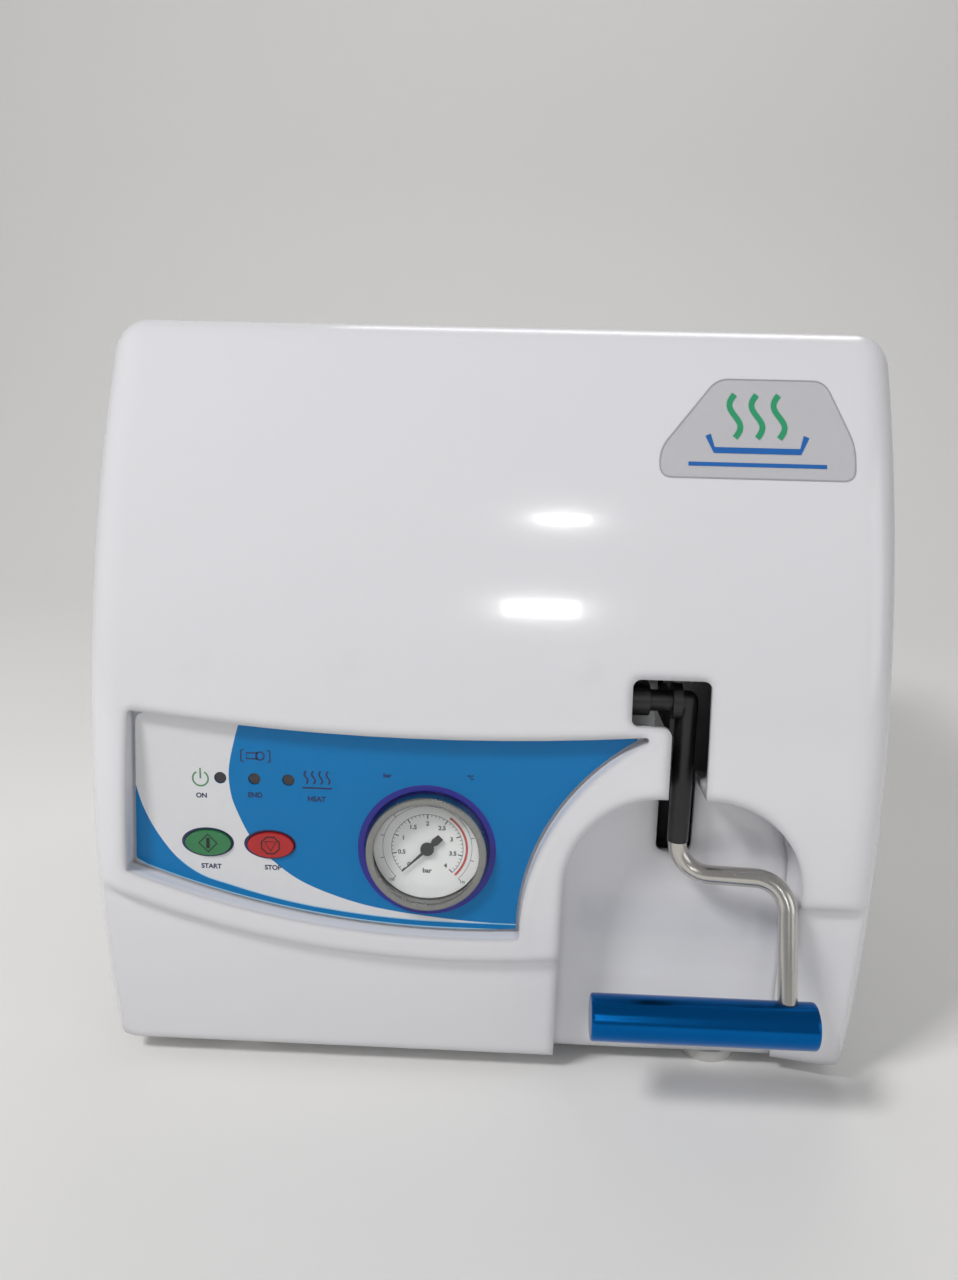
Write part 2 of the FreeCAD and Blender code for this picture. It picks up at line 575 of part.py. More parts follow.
# Striker on the frame: side plate with a foot and a pin that reaches over the claw
PLATE_X = "claw_x + claw_thickness / 2 + 3"
plate = box("striker_plate_box", PLATE_X, f"{STRIKER_Y} - 8", "lever_height - 9", "striker_plate",
            f"-({STRIKER_Y}) - flange_depth + flange_thickness + 8", 18)
foot_plate = box("striker_foot", PLATE_X, "-flange_depth + flange_thickness - 3", "lever_height - 14",
                 26, 3, 28)
pin_hole = rod("striker_hole", "striker_radius", 12, f"{PLATE_X} - 2", STRIKER_Y, "lever_height", "+X")
striker_screw_places = [f"lever_height + {dz}" for dz in (-8, 8)]
foot_holes = [rod(f"striker_foot_hole{k}", "screw_radius + 0.1", 20, f"{PLATE_X} + 16",
                  "-flange_depth + flange_thickness - 8", z, "+Y") for k,
                  z in enumerate(striker_screw_places)]
keep(cut("striker_cut", fuse("striker_all", plate, foot_plate), pin_hole, *foot_holes),
     "striker_bracket")
keep(rod("striker_pin_rod", "striker_radius", "claw_thickness + striker_plate + 5.5",
         f"{CLAW_X} - 2", STRIKER_Y, "lever_height", "+X"), "striker_pin")

# Pressure chamber: drawn tube with a welded flange and a dished end
def dished_end():
    """Back end of the chamber, a shallow dish turned about the chamber's axis."""
    outer_r = v.chamber_radius + v.chamber_wall
    start = v.chamber_length - v.flange_depth
    rise = 12
    profile = [Vector(0, start + rise, 0), Vector(outer_r * 0.55, start + rise - 3, 0),
               Vector(outer_r, start - 6, 0)]
    curve = Part.BSplineCurve()
    curve.interpolate(profile, InitialTangent=Vector(1, 0, 0), FinalTangent=Vector(0, -1, 0))
    inner = Part.BSplineCurve()
    back = [p + Vector(-v.chamber_wall if i == 2 else 0, -v.chamber_wall if i < 2 else 0, 0)
            for i, p in enumerate(profile)]
    inner.interpolate(back[::-1], InitialTangent=Vector(0, 1, 0), FinalTangent=Vector(-1, 0, 0))
    edges = [curve.toShape(), Part.LineSegment(profile[2], back[2]).toShape(), inner.toShape(),
             Part.LineSegment(back[0], profile[0]).toShape()]
    face = Part.Face(Part.Wire(edges))
    solid = face.revolve(Vector(0, 0, 0), Vector(0, 1, 0), 360)
    solid.translate(Vector(v.chamber_x, 0, v.chamber_height))
    return solid


C_X, C_Z = "chamber_x", "chamber_height"
tube_length = f"{CHAMBER_END} - 6 + flange_depth"
chamber_tube = tube("chamber_tube", "chamber_radius + chamber_wall", "chamber_radius", tube_length, C_X,
                    FLANGE_Y, C_Z, "+Y")
flange = tube("chamber_flange", "flange_radius", "chamber_radius", "flange_thickness", C_X, FLANGE_Y,
              C_Z, "+Y")
PORT_END = f"({CHAMBER_END} + port_length)"
EXHAUST_Z = "(chamber_height - exhaust_drop)"
SAFETY_X = "(chamber_x - safety_side)"
SAFETY_Z = "(chamber_height + safety_rise)"
ports, port_bores = [], []
for name, x, z in (("exhaust", C_X, EXHAUST_Z), ("safety", SAFETY_X, SAFETY_Z)):
    ports.append(rod(f"{name}_port", "pipe_radius + 2", f"{PORT_END} - ({CHAMBER_END} - 3)", x,
                     f"{CHAMBER_END} - 3", z, "+Y"))
    port_bores.append(rod(f"{name}_port_bore", "pipe_radius - 1", "port_length + 30", x,
                          f"{CHAMBER_END} - 20", z, "+Y"))
chamber_end = shaped("chamber_end", dished_end())
keep(cut("chamber_ports", fuse("chamber_all", chamber_tube, flange, chamber_end, *ports), *port_bores),
     "pressure_chamber")

# Band heater and blanket round the chamber
heater_start = f"{CHAMBER_END} - 100"
keep(tube("heater_band", "chamber_radius + chamber_wall + heater_thickness",
          "chamber_radius + chamber_wall",
          "heater_width", C_X, heater_start, C_Z, "+Y"), "band_heater")
blanket_inner = "chamber_radius + chamber_wall + heater_thickness + contact_gap"
blanket_start = "-flange_depth + flange_thickness + sheet_thickness + 2"
keep(tube("blanket_tube", f"{blanket_inner} + blanket_thickness", blanket_inner,
          f"{CHAMBER_END} - 16 - ({blanket_start})", C_X, blanket_start, C_Z, "+Y"),
          "insulation_blanket")

# Lid with its gasket, pressed by a stud through the bridge
lid_disc = rod("lid_disc", "lid_radius", "lid_thickness", C_X, LID_FRONT, C_Z, "+Y")
groove = tube("lid_groove", "chamber_radius + 1 + gasket_width", "chamber_radius + 1", 10, C_X,
              f"{LID_BACK} - gasket_groove", C_Z, "+Y")
gauge_bore = rod("lid_gauge_bore", "gauge_stem + running_gap", 40, GAUGE[0], f"{LID_FRONT} - 5",
                 GAUGE[1], "+Y")
lid_edge = rounded_by("lid_edge", lid_disc, lambda e: 2.5 if abs(middle_of(e).y + v.flange_depth + v.lid_gap
                                                                + v.lid_thickness) < 0.01 else 0)
keep(cut("lid_cut", lid_edge, groove, gauge_bore), "chamber_lid")
keep(tube("gasket_ring", "chamber_radius + 1 + gasket_width", "chamber_radius + 1",
          "lid_gap + gasket_groove - gasket_squeeze_gap", C_X, f"{LID_BACK} - gasket_groove", C_Z, "+Y"),
     "lid_gasket")
HEAD_Y = f"({LEVER_Y} + cam_offset + cam_radius + cam_gap)"
stud_head = rod("stud_head_disc", "stud_head_radius", "stud_head", C_X, HEAD_Y, "lever_height", "+Y")
stud_shank = rod("stud_shank", "stud_radius", f"{LID_FRONT} - {HEAD_Y}", C_X, HEAD_Y, "lever_height",
                 "+Y")
keep(fuse("stud_all", stud_head, stud_shank), "pressure_stud")
SPRING_Y = f"({HEAD_Y} + stud_head + contact_gap)"
spring_space = f"(-bridge_depth - {SPRING_Y})"
disc_low = cut("disc_spring_low", cone("disc_low_cone", "stud_head_radius", "stud_head_radius - 2",
                                       f"{spring_space} / 2", C_X, SPRING_Y, "lever_height", "+Y"),
               rod("disc_low_bore", "stud_radius + 0.3", 20, C_X, f"{SPRING_Y} - 2", "lever_height",
                   "+Y"))
disc_high = cut("disc_spring_high", cone("disc_high_cone", "stud_head_radius - 2", "stud_head_radius",
                                         f"{spring_space} / 2", C_X, f"{SPRING_Y} + {spring_space} / 2",
                                         "lever_height", "+Y"),
                rod("disc_high_bore", "stud_radius + 0.3", 20, C_X, f"{SPRING_Y} - 2", "lever_height",
                    "+Y"))
keep(group("disc_springs_all", disc_low, disc_high), "disc_springs")

# Door bridge: thick bar across the door with a leg along the left wall for the hinge
BAR_Z = "lever_height - bridge_height / 2"
LEG_X = "(-shell_width / 2 + shell_wall + contact_gap)"
bar = box("bridge_bar", LEG_X, "-bridge_depth", BAR_Z, f"bridge_right - {LEG_X}", "bridge_thickness",
          "bridge_height")
leg = box("bridge_side_leg", LEG_X, "-bridge_depth", "hinge_base", "bridge_leg",
          "bridge_depth - seam_depth - 10", "hinge_height")
stud_hole = rod("bridge_stud_hole", "stud_radius + running_gap", 30, C_X, "-bridge_depth - 5",
                "lever_height", "+Y")
leg_holes = fuse("leg_holes", *[rod(f"leg_hole{k}", "screw_radius", 20, hinge_screws_x,
                                    "-seam_depth - leaf_width * 0.6",
                                    f"hinge_base + hinge_height * ({k} + 0.5) / 3",
                                    "+X") for k in range(3)])
block_left = ["chamber_x - 28", "chamber_x + 16", "bridge_right - 20"]
keep(cut("bridge_cut", fuse("bridge_all", bar, leg), stud_hole, leg_holes), "door_bridge")
blocks, bushes = [], []
for k, x in enumerate(block_left):
    block = box(f"block{k}_box", x, f"{LEVER_Y} - 6.5", "lever_height - block_height / 2", "block_width",
                f"-bridge_depth - ({LEVER_Y}) + 6.5", "block_height")
    seat = rod(f"block{k}_seat", "shaft_radius + bush_wall", "block_width + 2", f"{x} - 1", LEVER_Y,
               "lever_height", "+X")
    blocks.append(cut(f"block{k}", block, seat))
    bushes.append(tube(f"bush{k}", "shaft_radius + bush_wall", "shaft_radius + running_gap",
                       "block_width", x,
                       LEVER_Y, "lever_height", "+X"))
keep(group("blocks_all", *blocks), "bearing_blocks")
keep(group("bushes_all", *bushes), "shaft_bushes")

# Hinge on the left side: two leaves with interleaved knuckles on one pin
knuckle = "(hinge_height / knuckle_count)"
leaves = {"door": ("-seam_depth - leaf_width", 1), "frame": ("-seam_depth", 0)}
for side, (leaf_y, first) in leaves.items():
    flat_y = f"{leaf_y} + 0.5" if side == "frame" else leaf_y
    flat = box(f"{side}_leaf_flat", "-shell_width / 2 - leaf_thickness", flat_y, "hinge_base",
               "leaf_thickness",
               "leaf_width - 0.5", "hinge_height")
    turns = []
    gaps = []
    for k in range(int(v.knuckle_count)):
        z = f"hinge_base + {knuckle} * {k}"
        if k % 2 == first:
            turns.append(rod(f"{side}_knuckle{k}", "barrel_radius", f"{knuckle} - knuckle_gap", HINGE_X,
                             "-seam_depth", z))
        else:
            gaps.append(rod(f"{side}_gap{k}", "barrel_radius + knuckle_gap", f"{knuckle}", HINGE_X,
                            "-seam_depth", f"{z} - knuckle_gap / 2"))
    bore = rod(f"{side}_pin_bore", "hinge_pin_radius + running_gap", "hinge_height + 4", HINGE_X,
               "-seam_depth",
               "hinge_base - 2")
    holes = [rod(f"{side}_leaf_hole{k}", "screw_radius + 0.1", 20, hinge_screws_x,
                 "-seam_depth - leaf_width * 0.6" if side == "door" else "-seam_depth + leaf_width * 0.6",
                 f"hinge_base + hinge_height * ({k} + 0.5) / 3", "+X") for k in range(3)]
    keep(cut(f"{side}_leaf_cut", fuse(f"{side}_leaf_all", flat, *turns), *gaps, bore, *holes),
         f"hinge_{side}_leaf")
keep(rod("hinge_pin_rod", "hinge_pin_radius", "hinge_height + 2", HINGE_X, "-seam_depth",
         "hinge_base - 1"),
     "hinge_pin")
for side, y in (("door", "-seam_depth - leaf_width * 0.6"), ("frame", "-seam_depth + leaf_width * 0.6")):
    screws = []
    for k in range(3):
        z = f"hinge_base + hinge_height * ({k} + 0.5) / 3"
        head = rod(f"{side}_screw_head{k}", "screw_head_radius", 1.4,
                   "-shell_width / 2 - leaf_thickness - 1.4", y, z,
                   "+X")
        shank = rod(f"{side}_screw_shank{k}", "screw_radius",
                    "leaf_thickness + shell_wall + contact_gap + bridge_leg",
                    "-shell_width / 2 - leaf_thickness", y, z, "+X")
        screws.append(fuse(f"{side}_screw{k}", head, shank))
    keep(group(f"{side}_screws_all", *screws), f"hinge_{side}_screws")

# Base plate, feet and front frame
base = box("base_sheet", "base_inset - shell_width / 2", "-base_front", "foot_height",
           "shell_width - 2 * base_inset",
           "base_front + back_depth - rear_inset - 4", "base_thickness")
foot_places = [(f"{sign} * foot_x", y) for sign in (-1, 1) for y in ("-foot_front", "foot_back")]
foot_holes = [rod(f"base_foot_hole{k}", 2.6, 10, x, y, "foot_height - 2") for k,
              (x, y) in enumerate(foot_places)]
keep(cut("base_cut", base, *foot_holes), "base_plate")
feet, foot_screws = [], []
for k, (x, y) in enumerate(foot_places):
    pad = cone(f"foot{k}_cone", "foot_radius - 1.5", "foot_radius", "foot_height", x, y, 0)
    hole = rod(f"foot{k}_hole", 2.6, "foot_height", x, y, 2)
    sink = rod(f"foot{k}_sink", 5, 3, x, y, -1)
    feet.append(cut(f"foot{k}", pad, hole, sink))
    shank = rod(f"foot_screw{k}_shank", 2.5, "foot_height + base_thickness - 1", x, y, 1)
    nut = rod(f"foot_screw{k}_nut", 4.5, 3, x, y, BASE_TOP)
    foot_screws.append(fuse(f"foot_screw{k}", shank, nut))
keep(group("feet_all", *feet), "rubber_feet")
keep(group("foot_screws_all", *foot_screws), "foot_screws")
FRAME_Y = "(-flange_depth + flange_thickness)"
FRAME_LEFT = "(frame_inset - shell_width / 2)"
FRAME_WIDTH = "(shell_width - 2 * frame_inset)"
frame_sheet = box("frame_sheet", FRAME_LEFT, FRAME_Y, BASE_TOP, FRAME_WIDTH, "sheet_thickness",
                  f"frame_top - {BASE_TOP}")
frame_foot = box("frame_foot", FRAME_LEFT, FRAME_Y, BASE_TOP, FRAME_WIDTH, 24,
                 "sheet_thickness")
frame_ear = box("frame_ear", LEG_X, f"{FRAME_Y}", "hinge_base", f"{FRAME_LEFT} - {LEG_X} + 2",
                "sheet_thickness", "hinge_height")
hinge_post = box("hinge_post", LEG_X, FRAME_Y, "hinge_base", "bridge_leg", "leaf_width + 10",
                 "hinge_height")
frame_hole = rod("frame_hole", "chamber_radius + chamber_wall + contact_gap", 20, C_X, f"{FRAME_Y} - 5",
                 C_Z, "+Y")
post_holes = fuse("post_holes", *[rod(f"post_hole{k}", "screw_radius", 20, hinge_screws_x,
                                      "-seam_depth + leaf_width * 0.6",
                                      f"hinge_base + hinge_height * ({k} + 0.5) / 3",
                                      "+X") for k in range(3)])
striker_holes = fuse("striker_frame_holes", *[rod(f"striker_frame_hole{k}", "screw_radius", 20,
                                                  f"{PLATE_X} + 16",
                                                  f"{FRAME_Y} - 5", z, "+Y")
                                              for k, z in enumerate(striker_screw_places)])
keep(cut("frame_cut", fuse("frame_all", frame_sheet, frame_foot, frame_ear, hinge_post), frame_hole,
         post_holes,
         striker_holes), "front_frame")
striker_screws = []
for k, z in enumerate(striker_screw_places):
    head = rod(f"striker_screw_head{k}", "screw_head_radius", "screw_head", f"{PLATE_X} + 16",
               f"{FRAME_Y} - 3 - screw_head", z, "+Y")
    shank = rod(f"striker_screw_shank{k}", "screw_radius", "3 + sheet_thickness + 2", f"{PLATE_X} + 16",
                f"{FRAME_Y} - 3", z, "+Y")
    striker_screws.append(fuse(f"striker_screw{k}", head, shank))
keep(group("striker_screws_all", *striker_screws), "striker_screws")

# Rear housing: open box with rounded long edges, a return lip at the floor and at the back
def long_rounds(inset):
    def pick(edge):
        point = middle_of(edge)
        along = abs(edge.tangentAt(edge.FirstParameter).y) > 0.99
        if not along:
            return 0
        return (v.side_round if point.z > v.belly_height else v.bottom_round) - inset
    return pick


housing_block = box("housing_block", "-shell_width / 2", "-seam_depth + seam_gap / 2", BASE_TOP,
                    "shell_width",
                    "back_depth + seam_depth - seam_gap / 2", f"shell_top - {BASE_TOP}")
housing_round = rounded_by("housing_round", housing_block, long_rounds(0))
housing_space = box("housing_space", "-shell_width / 2 + shell_wall", "-seam_depth - 5",
                    f"{BASE_TOP} + shell_wall", "shell_width - 2 * shell_wall",
                    "back_depth + seam_depth + 5 - shell_wall",
                    f"shell_top - {BASE_TOP} - 2 * shell_wall")
housing_hollow = rounded_by("housing_hollow", housing_space, long_rounds(v.shell_wall))
housing_floor = box("housing_floor", "-shell_width / 2 + 8", "-seam_depth - 5", 0, "shell_width - 16",
                    "back_depth + seam_depth - 5", 20)
housing_back = box("housing_back", "-shell_width / 2 + return_lip", "back_depth - 20",
                   "foot_height + 16", "shell_width - 2 * return_lip", 40,
                   "shell_top - foot_height - 34")
housing_holes = fuse("housing_holes", *[rod(f"housing_hole{k}", "screw_radius + 0.1", 20, hinge_screws_x,
                                            "-seam_depth + leaf_width * 0.6",
                                            f"hinge_base + hinge_height * ({k} + 0.5) / 3", "+X")
                                        for k in range(3)])
panel_screw_places = [(f"{sign} * (shell_width / 2 - return_lip / 2 - 2)", z)
                      for sign in (-1, 1) for z in ("foot_height + 32", "shell_top / 2",
                                                    "shell_top - 28")]
lip_holes = fuse("lip_holes", *[rod(f"lip_hole{k}", "screw_radius", 20, x, "back_depth - 10", z, "+Y")
                                for k, (x, z) in enumerate(panel_screw_places)])
keep(cut("housing_cut", housing_round, housing_hollow, housing_floor, housing_back, housing_holes,
         lip_holes),
     "rear_housing")

# Rear panel: sheet on the housing's back lip, with air slots and holes for the services
rear_sheet = box("rear_sheet", "-shell_width / 2 + 6", "back_depth", "foot_height + 10",
                 "shell_width - 12",
                 "sheet_thickness", "shell_top - foot_height - 22")
air_slots = fuse("air_slots", *[box(f"air_slot{i}_{j}", f"{-50 + 44 * i}", "back_depth - 4",
                                    f"{110 + 10 * j}",
                                    36, 10, 3.5) for i in range(4) for j in range(5)])
inlet_hole = box("inlet_hole", "inlet_x - 14", "back_depth - 4", "inlet_height - 11", 28, 10, 22)
switch_hole = box("switch_hole", "switch_x - 9.5", "back_depth - 4", "inlet_height - 13", 19, 10, 26)
fuse_hole = rod("fuse_hole", 6.1, 10, "fuse_x", "back_depth - 4", "inlet_height", "+Y")
safety_hole = rod("safety_hole", 9, 10, SAFETY_X, "back_depth - 4", SAFETY_Z, "+Y")
drain_hole = rod("drain_hole", 6.1, 10, "drain_x", "back_depth - 4", "service_height", "+Y")
panel_holes = fuse("panel_holes", *[rod(f"panel_hole{k}", "screw_radius + 0.1", 20, x,
                                        "back_depth - 10", z, "+Y")
                                    for k, (x, z) in enumerate(panel_screw_places)])
keep(cut("rear_panel_cut", rear_sheet, air_slots, inlet_hole, switch_hole, fuse_hole, safety_hole,
         drain_hole,
         panel_holes), "rear_panel")
panel_screws = []
for k, (x, z) in enumerate(panel_screw_places):
    head = rod(f"panel_screw_head{k}", "screw_head_radius", "screw_head", x,
               "back_depth + sheet_thickness", z, "+Y")
    shank = rod(f"panel_screw_shank{k}", "screw_radius", 9, x, "back_depth + sheet_thickness - 9", z,
                "+Y")
    panel_screws.append(fuse(f"panel_screw{k}", head, shank))
keep(group("panel_screws_all", *panel_screws), "rear_panel_screws")

# Cradle that carries the back of the chamber
cradle_y = f"{CHAMBER_END} - 15"
cradle_plate = box("cradle_plate", "chamber_x - cradle_width / 2", cradle_y, BASE_TOP, "cradle_width",
                   "sheet_thickness",
                   f"chamber_height + 40 - {BASE_TOP}")

cradle_foot = box("cradle_foot_plate", "chamber_x - cradle_width / 2", f"{cradle_y} - 16", BASE_TOP,
                  "cradle_width", 18,
                  "sheet_thickness")
cradle_hole = rod("cradle_hole", "chamber_radius + chamber_wall + contact_gap", 20, C_X,
                  f"{cradle_y} - 5", C_Z, "+Y")
keep(cut("cradle_cut", fuse("cradle_all", cradle_plate, cradle_foot), cradle_hole), "chamber_cradle")

# Rack and instrument trays inside the chamber
RACK_Z = ("(chamber_height - sqrt((chamber_radius - contact_gap) * (chamber_radius - contact_gap)"
          " - rack_width * rack_width / 4))")
rack_y = "-flange_depth + 6"
rack_sides = []
for sign, side_x in ((-1, "chamber_x - rack_width / 2"), (1, "chamber_x + rack_width / 2 - 1.2")):
    rack_sides.append(box(f"rack_side{sign}", side_x, rack_y, RACK_Z, 1.2, "rack_length", "rack_height"))
    for k in range(int(v.tray_count)):
        ledge_x = "chamber_x - rack_width / 2" if sign < 0 else "chamber_x + rack_width / 2 - 5"
        rack_sides.append(box(f"rack_ledge{sign}_{k}", ledge_x, rack_y,
                              f"{RACK_Z} + 3 + tray_pitch * {k}", 5,
                              "rack_length", 1))
for k in range(3):
    rack_sides.append(box(f"rack_tie{k}", "chamber_x - rack_width / 2",
                          f"{rack_y} + {k} * (rack_length - 10) / 2",
                          RACK_Z, "rack_width", 10, 1.2))
keep(fuse("rack_all", *rack_sides), "tray_rack")
for k in range(int(v.tray_count)):
    tray_z = f"{RACK_Z} + 4 + tray_pitch * {k}"
    tray_box = box(f"tray{k}_box", "chamber_x - tray_width / 2 - 3", f"{rack_y} + 4", tray_z,
                   "tray_width + 6",
                   "tray_length", "tray_depth")
    tray_space = box(f"tray{k}_space", "chamber_x - tray_width / 2 - 2", f"{rack_y} + 5",
                     f"{tray_z} + tray_thickness",
                     "tray_width + 4", "tray_length - 2", "tray_depth")
    keep(cut(f"tray{k}_cut", tray_box, tray_space), f"instrument_tray_{k + 1}")

# Exhaust line: pipe from the chamber down to the solenoid valve, then out to the drain fitting
port_end = v.chamber_length - v.flange_depth + v.port_length
exhaust_z = v.chamber_height - v.exhaust_drop
valve_top = v.service_height + 11
line_y = port_end + v.pipe_bend + 3
down = sweep_round([Vector(v.chamber_x, port_end, exhaust_z), Vector(v.chamber_x, line_y, exhaust_z),
                    Vector(v.chamber_x, line_y, valve_top)], v.pipe_radius, v.pipe_bend)
keep(shaped("exhaust_pipe_solid", down), "exhaust_pipe")
VALVE_Y = f"({PORT_END} + pipe_bend + 3)"
valve_box = box("valve_box", "chamber_x - valve_body / 2", f"{VALVE_Y} - 12", "service_height - 11",
                "valve_body",
                18, 22)
coil = rod("coil_round", "coil_radius", 24, C_X, f"{VALVE_Y} - 12", "service_height", "-Y")
keep(coil, "valve_coil")
valve_stand = box("valve_stand", "chamber_x - 8", f"{VALVE_Y} - 12", BASE_TOP, 16, 9,
                  f"service_height - 10 - {BASE_TOP}")
keep(fuse("valve_all", valve_box, valve_stand), "solenoid_valve")
drain = sweep_round([Vector(v.chamber_x - v.valve_body / 2, line_y - 3, v.service_height),
                     Vector(v.drain_x, line_y - 3, v.service_height),
                     Vector(v.drain_x, v.back_depth - 3, v.service_height)], v.pipe_radius, v.pipe_bend)
keep(shaped("drain_pipe_solid", drain), "drain_pipe")
barb_y = "back_depth - 3"
barb = [rod("drain_body", 6, 12, "drain_x", barb_y, "service_height", "+Y"),
        rod("drain_nut", 9, 5, "drain_x", "back_depth + sheet_thickness", "service_height", "+Y"),
        rod("drain_tail", 4, "drain_reach", "drain_x", "back_depth", "service_height", "+Y")]
barb += [cone(f"drain_barb{k}", 5.2, 4, 5, "drain_x", f"back_depth + drain_reach * (1 - 0.2 * {k + 1})",
              "service_height",
              "+Y")
         for k in range(3)]
drain_bore = rod("drain_bore", 2.5, "drain_reach + 20", "drain_x", "back_depth - 10", "service_height",
                 "+Y")
keep(cut("drain_cut", fuse("drain_all", *barb), drain_bore), "drain_fitting")

# Safety valve on its port, with the lift ring outside the rear panel
safety_parts = [rod("safety_body", 7, f"back_depth + 12 - {PORT_END}", SAFETY_X, PORT_END, SAFETY_Z,
                    "+Y"),
                rod("safety_hex", 10, 6, SAFETY_X, "back_depth + sheet_thickness + 1", SAFETY_Z, "+Y")]
safety_bore = rod("safety_bore", "2 + running_gap", 14, SAFETY_X, "back_depth + 6", SAFETY_Z, "+Y")
keep(cut("safety_cut", fuse("safety_all", *safety_parts), safety_bore), "safety_valve")
ring_stem = rod("ring_stem", 2, 12, SAFETY_X, "back_depth + 7", SAFETY_Z, "+Y")
ring_loop = doc.addObject("Part::Torus", "ring_loop")
bind(ring_loop, Radius1=6, Radius2=1.1)
place(ring_loop, SAFETY_X, "back_depth + 20", SAFETY_Z)
keep(fuse("ring_all", ring_stem, ring_loop), "safety_valve_ring")

# Thermostat on the dished end
keep(fuse("thermostat_all", rod("thermostat_can", 8, 9, C_X, f"{CHAMBER_END} + 12 + contact_gap", C_Z,
                                "+Y"),
          rod("thermostat_rim", 11, 2, C_X, f"{CHAMBER_END} + 12 + contact_gap", C_Z, "+Y"),
          box("thermostat_tab", "chamber_x - 4", f"{CHAMBER_END} + 20", "chamber_height - 1", 8, 8, 2)),
     "control_thermostat")

# Mains parts on the rear panel: inlet, fuse holder and rocker switch
inlet_flange = box("inlet_flange", "inlet_x - 25", "back_depth + sheet_thickness", "inlet_height - 13",
                   50, 2.5, 26)
inlet_body = box("inlet_body", "inlet_x - 13.8", "back_depth - 24", "inlet_height - 10.8", 27.6, 28,
                 21.6)
inlet_mouth = box("inlet_mouth", "inlet_x - 12", "back_depth - 14", "inlet_height - 8", 24, 40, 16)
inlet_pins = [box(f"inlet_pin{k}", f"inlet_x + {dx} - 1", "back_depth - 15", f"inlet_height + {dz} - 2",
                  2, 14, 4)
              for k, (dx, dz) in enumerate(((-7, -1), (0, 3), (7, -1)))]
keep(fuse("inlet_all", cut("inlet_shell", fuse("inlet_outer", inlet_flange, inlet_body), inlet_mouth),
          *inlet_pins),
     "mains_inlet")
keep(fuse("fuse_all", rod("fuse_body", 6, 34, "fuse_x", "back_depth - 32", "inlet_height", "+Y"),
          rod("fuse_rim", 8, 2, "fuse_x", "back_depth + sheet_thickness", "inlet_height", "+Y"),
          rod("fuse_cap", 6.5, 9, "fuse_x", "back_depth + sheet_thickness", "inlet_height", "+Y")),
          "fuse_holder")
switch_flange = box("switch_flange", "switch_x - 11", "back_depth + sheet_thickness",
                    "inlet_height - 15.5", 22, 2, 31)
switch_body = box("switch_body", "switch_x - 9.4", "back_depth - 18", "inlet_height - 12.9", 18.8, 21,
                  25.8)
switch_mouth = box("switch_mouth", "switch_x - 7.5", "back_depth - 8", "inlet_height - 11", 15, 30, 22)
keep(cut("switch_cut", fuse("switch_all", switch_flange, switch_body), switch_mouth), "switch_housing")
rocker_pivot_y = v.back_depth - 1


def rocker_shape():
    """Rocker seen from the side: a shallow V over a round hub, tilted to one of its two positions."""
    half, tip = 10.2, 6.5
    points = [(-half, tip - 1), (0, tip - 3.2), (half, tip - 1), (half - 1.5, tip - 6), (0, -3),
              (1.5 - half, tip - 6)]
    wire = Part.makePolygon([Vector(0, y, z) for z, y in points + points[:1]])
    width = 14
    solid = Part.Face(wire).extrude(Vector(width, 0, 0))
    solid.translate(Vector(v.switch_x - width / 2, rocker_pivot_y, v.inlet_height))
    solid.rotate(Vector(v.switch_x, rocker_pivot_y, v.inlet_height), Vector(1, 0, 0), v.rocker_tilt)
    hub_start = Vector(v.switch_x - width / 2, rocker_pivot_y, v.inlet_height)
    return solid.fuse(Part.makeCylinder(v.rocker_hub, width, hub_start,
                                        Vector(1, 0, 0))).removeSplitter()


keep(shaped("rocker_solid", rocker_shape()), "mains_rocker")

doc.recompute()
for item in doc.Objects:
    if "Invalid" in item.State or "Error" in item.State:
        raise RuntimeError(f"{item.Name} failed: {item.State}")
for item in parts:
    if item.Shape.isNull() or not item.Shape.isValid():
        raise RuntimeError(f"{item.Label} has no valid shape")
os.makedirs("parts", exist_ok=True)
for item in parts:
    item.Shape.exportStep(f"parts/{item.Label}.step")
print(len(parts), "parts written")
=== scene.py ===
from math import atan2, cos, hypot, pi, radians, sin, sqrt

import bmesh
import bpy
from mathutils import Matrix, Vector
from mathutils.geometry import delaunay_2d_cdt


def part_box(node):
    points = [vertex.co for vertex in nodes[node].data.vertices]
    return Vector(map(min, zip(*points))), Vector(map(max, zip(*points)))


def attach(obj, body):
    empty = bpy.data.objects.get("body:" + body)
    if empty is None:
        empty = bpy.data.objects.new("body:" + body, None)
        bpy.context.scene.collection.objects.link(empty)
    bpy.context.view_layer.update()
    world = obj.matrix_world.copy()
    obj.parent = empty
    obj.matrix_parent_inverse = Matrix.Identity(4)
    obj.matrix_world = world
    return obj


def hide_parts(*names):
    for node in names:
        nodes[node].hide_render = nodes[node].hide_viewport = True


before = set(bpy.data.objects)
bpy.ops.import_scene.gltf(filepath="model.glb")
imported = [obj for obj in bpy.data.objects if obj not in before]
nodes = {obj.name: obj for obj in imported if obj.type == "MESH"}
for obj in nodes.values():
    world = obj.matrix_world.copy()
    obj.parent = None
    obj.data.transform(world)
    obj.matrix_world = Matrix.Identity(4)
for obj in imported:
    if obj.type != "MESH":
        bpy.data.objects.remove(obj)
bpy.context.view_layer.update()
MM = 0.001

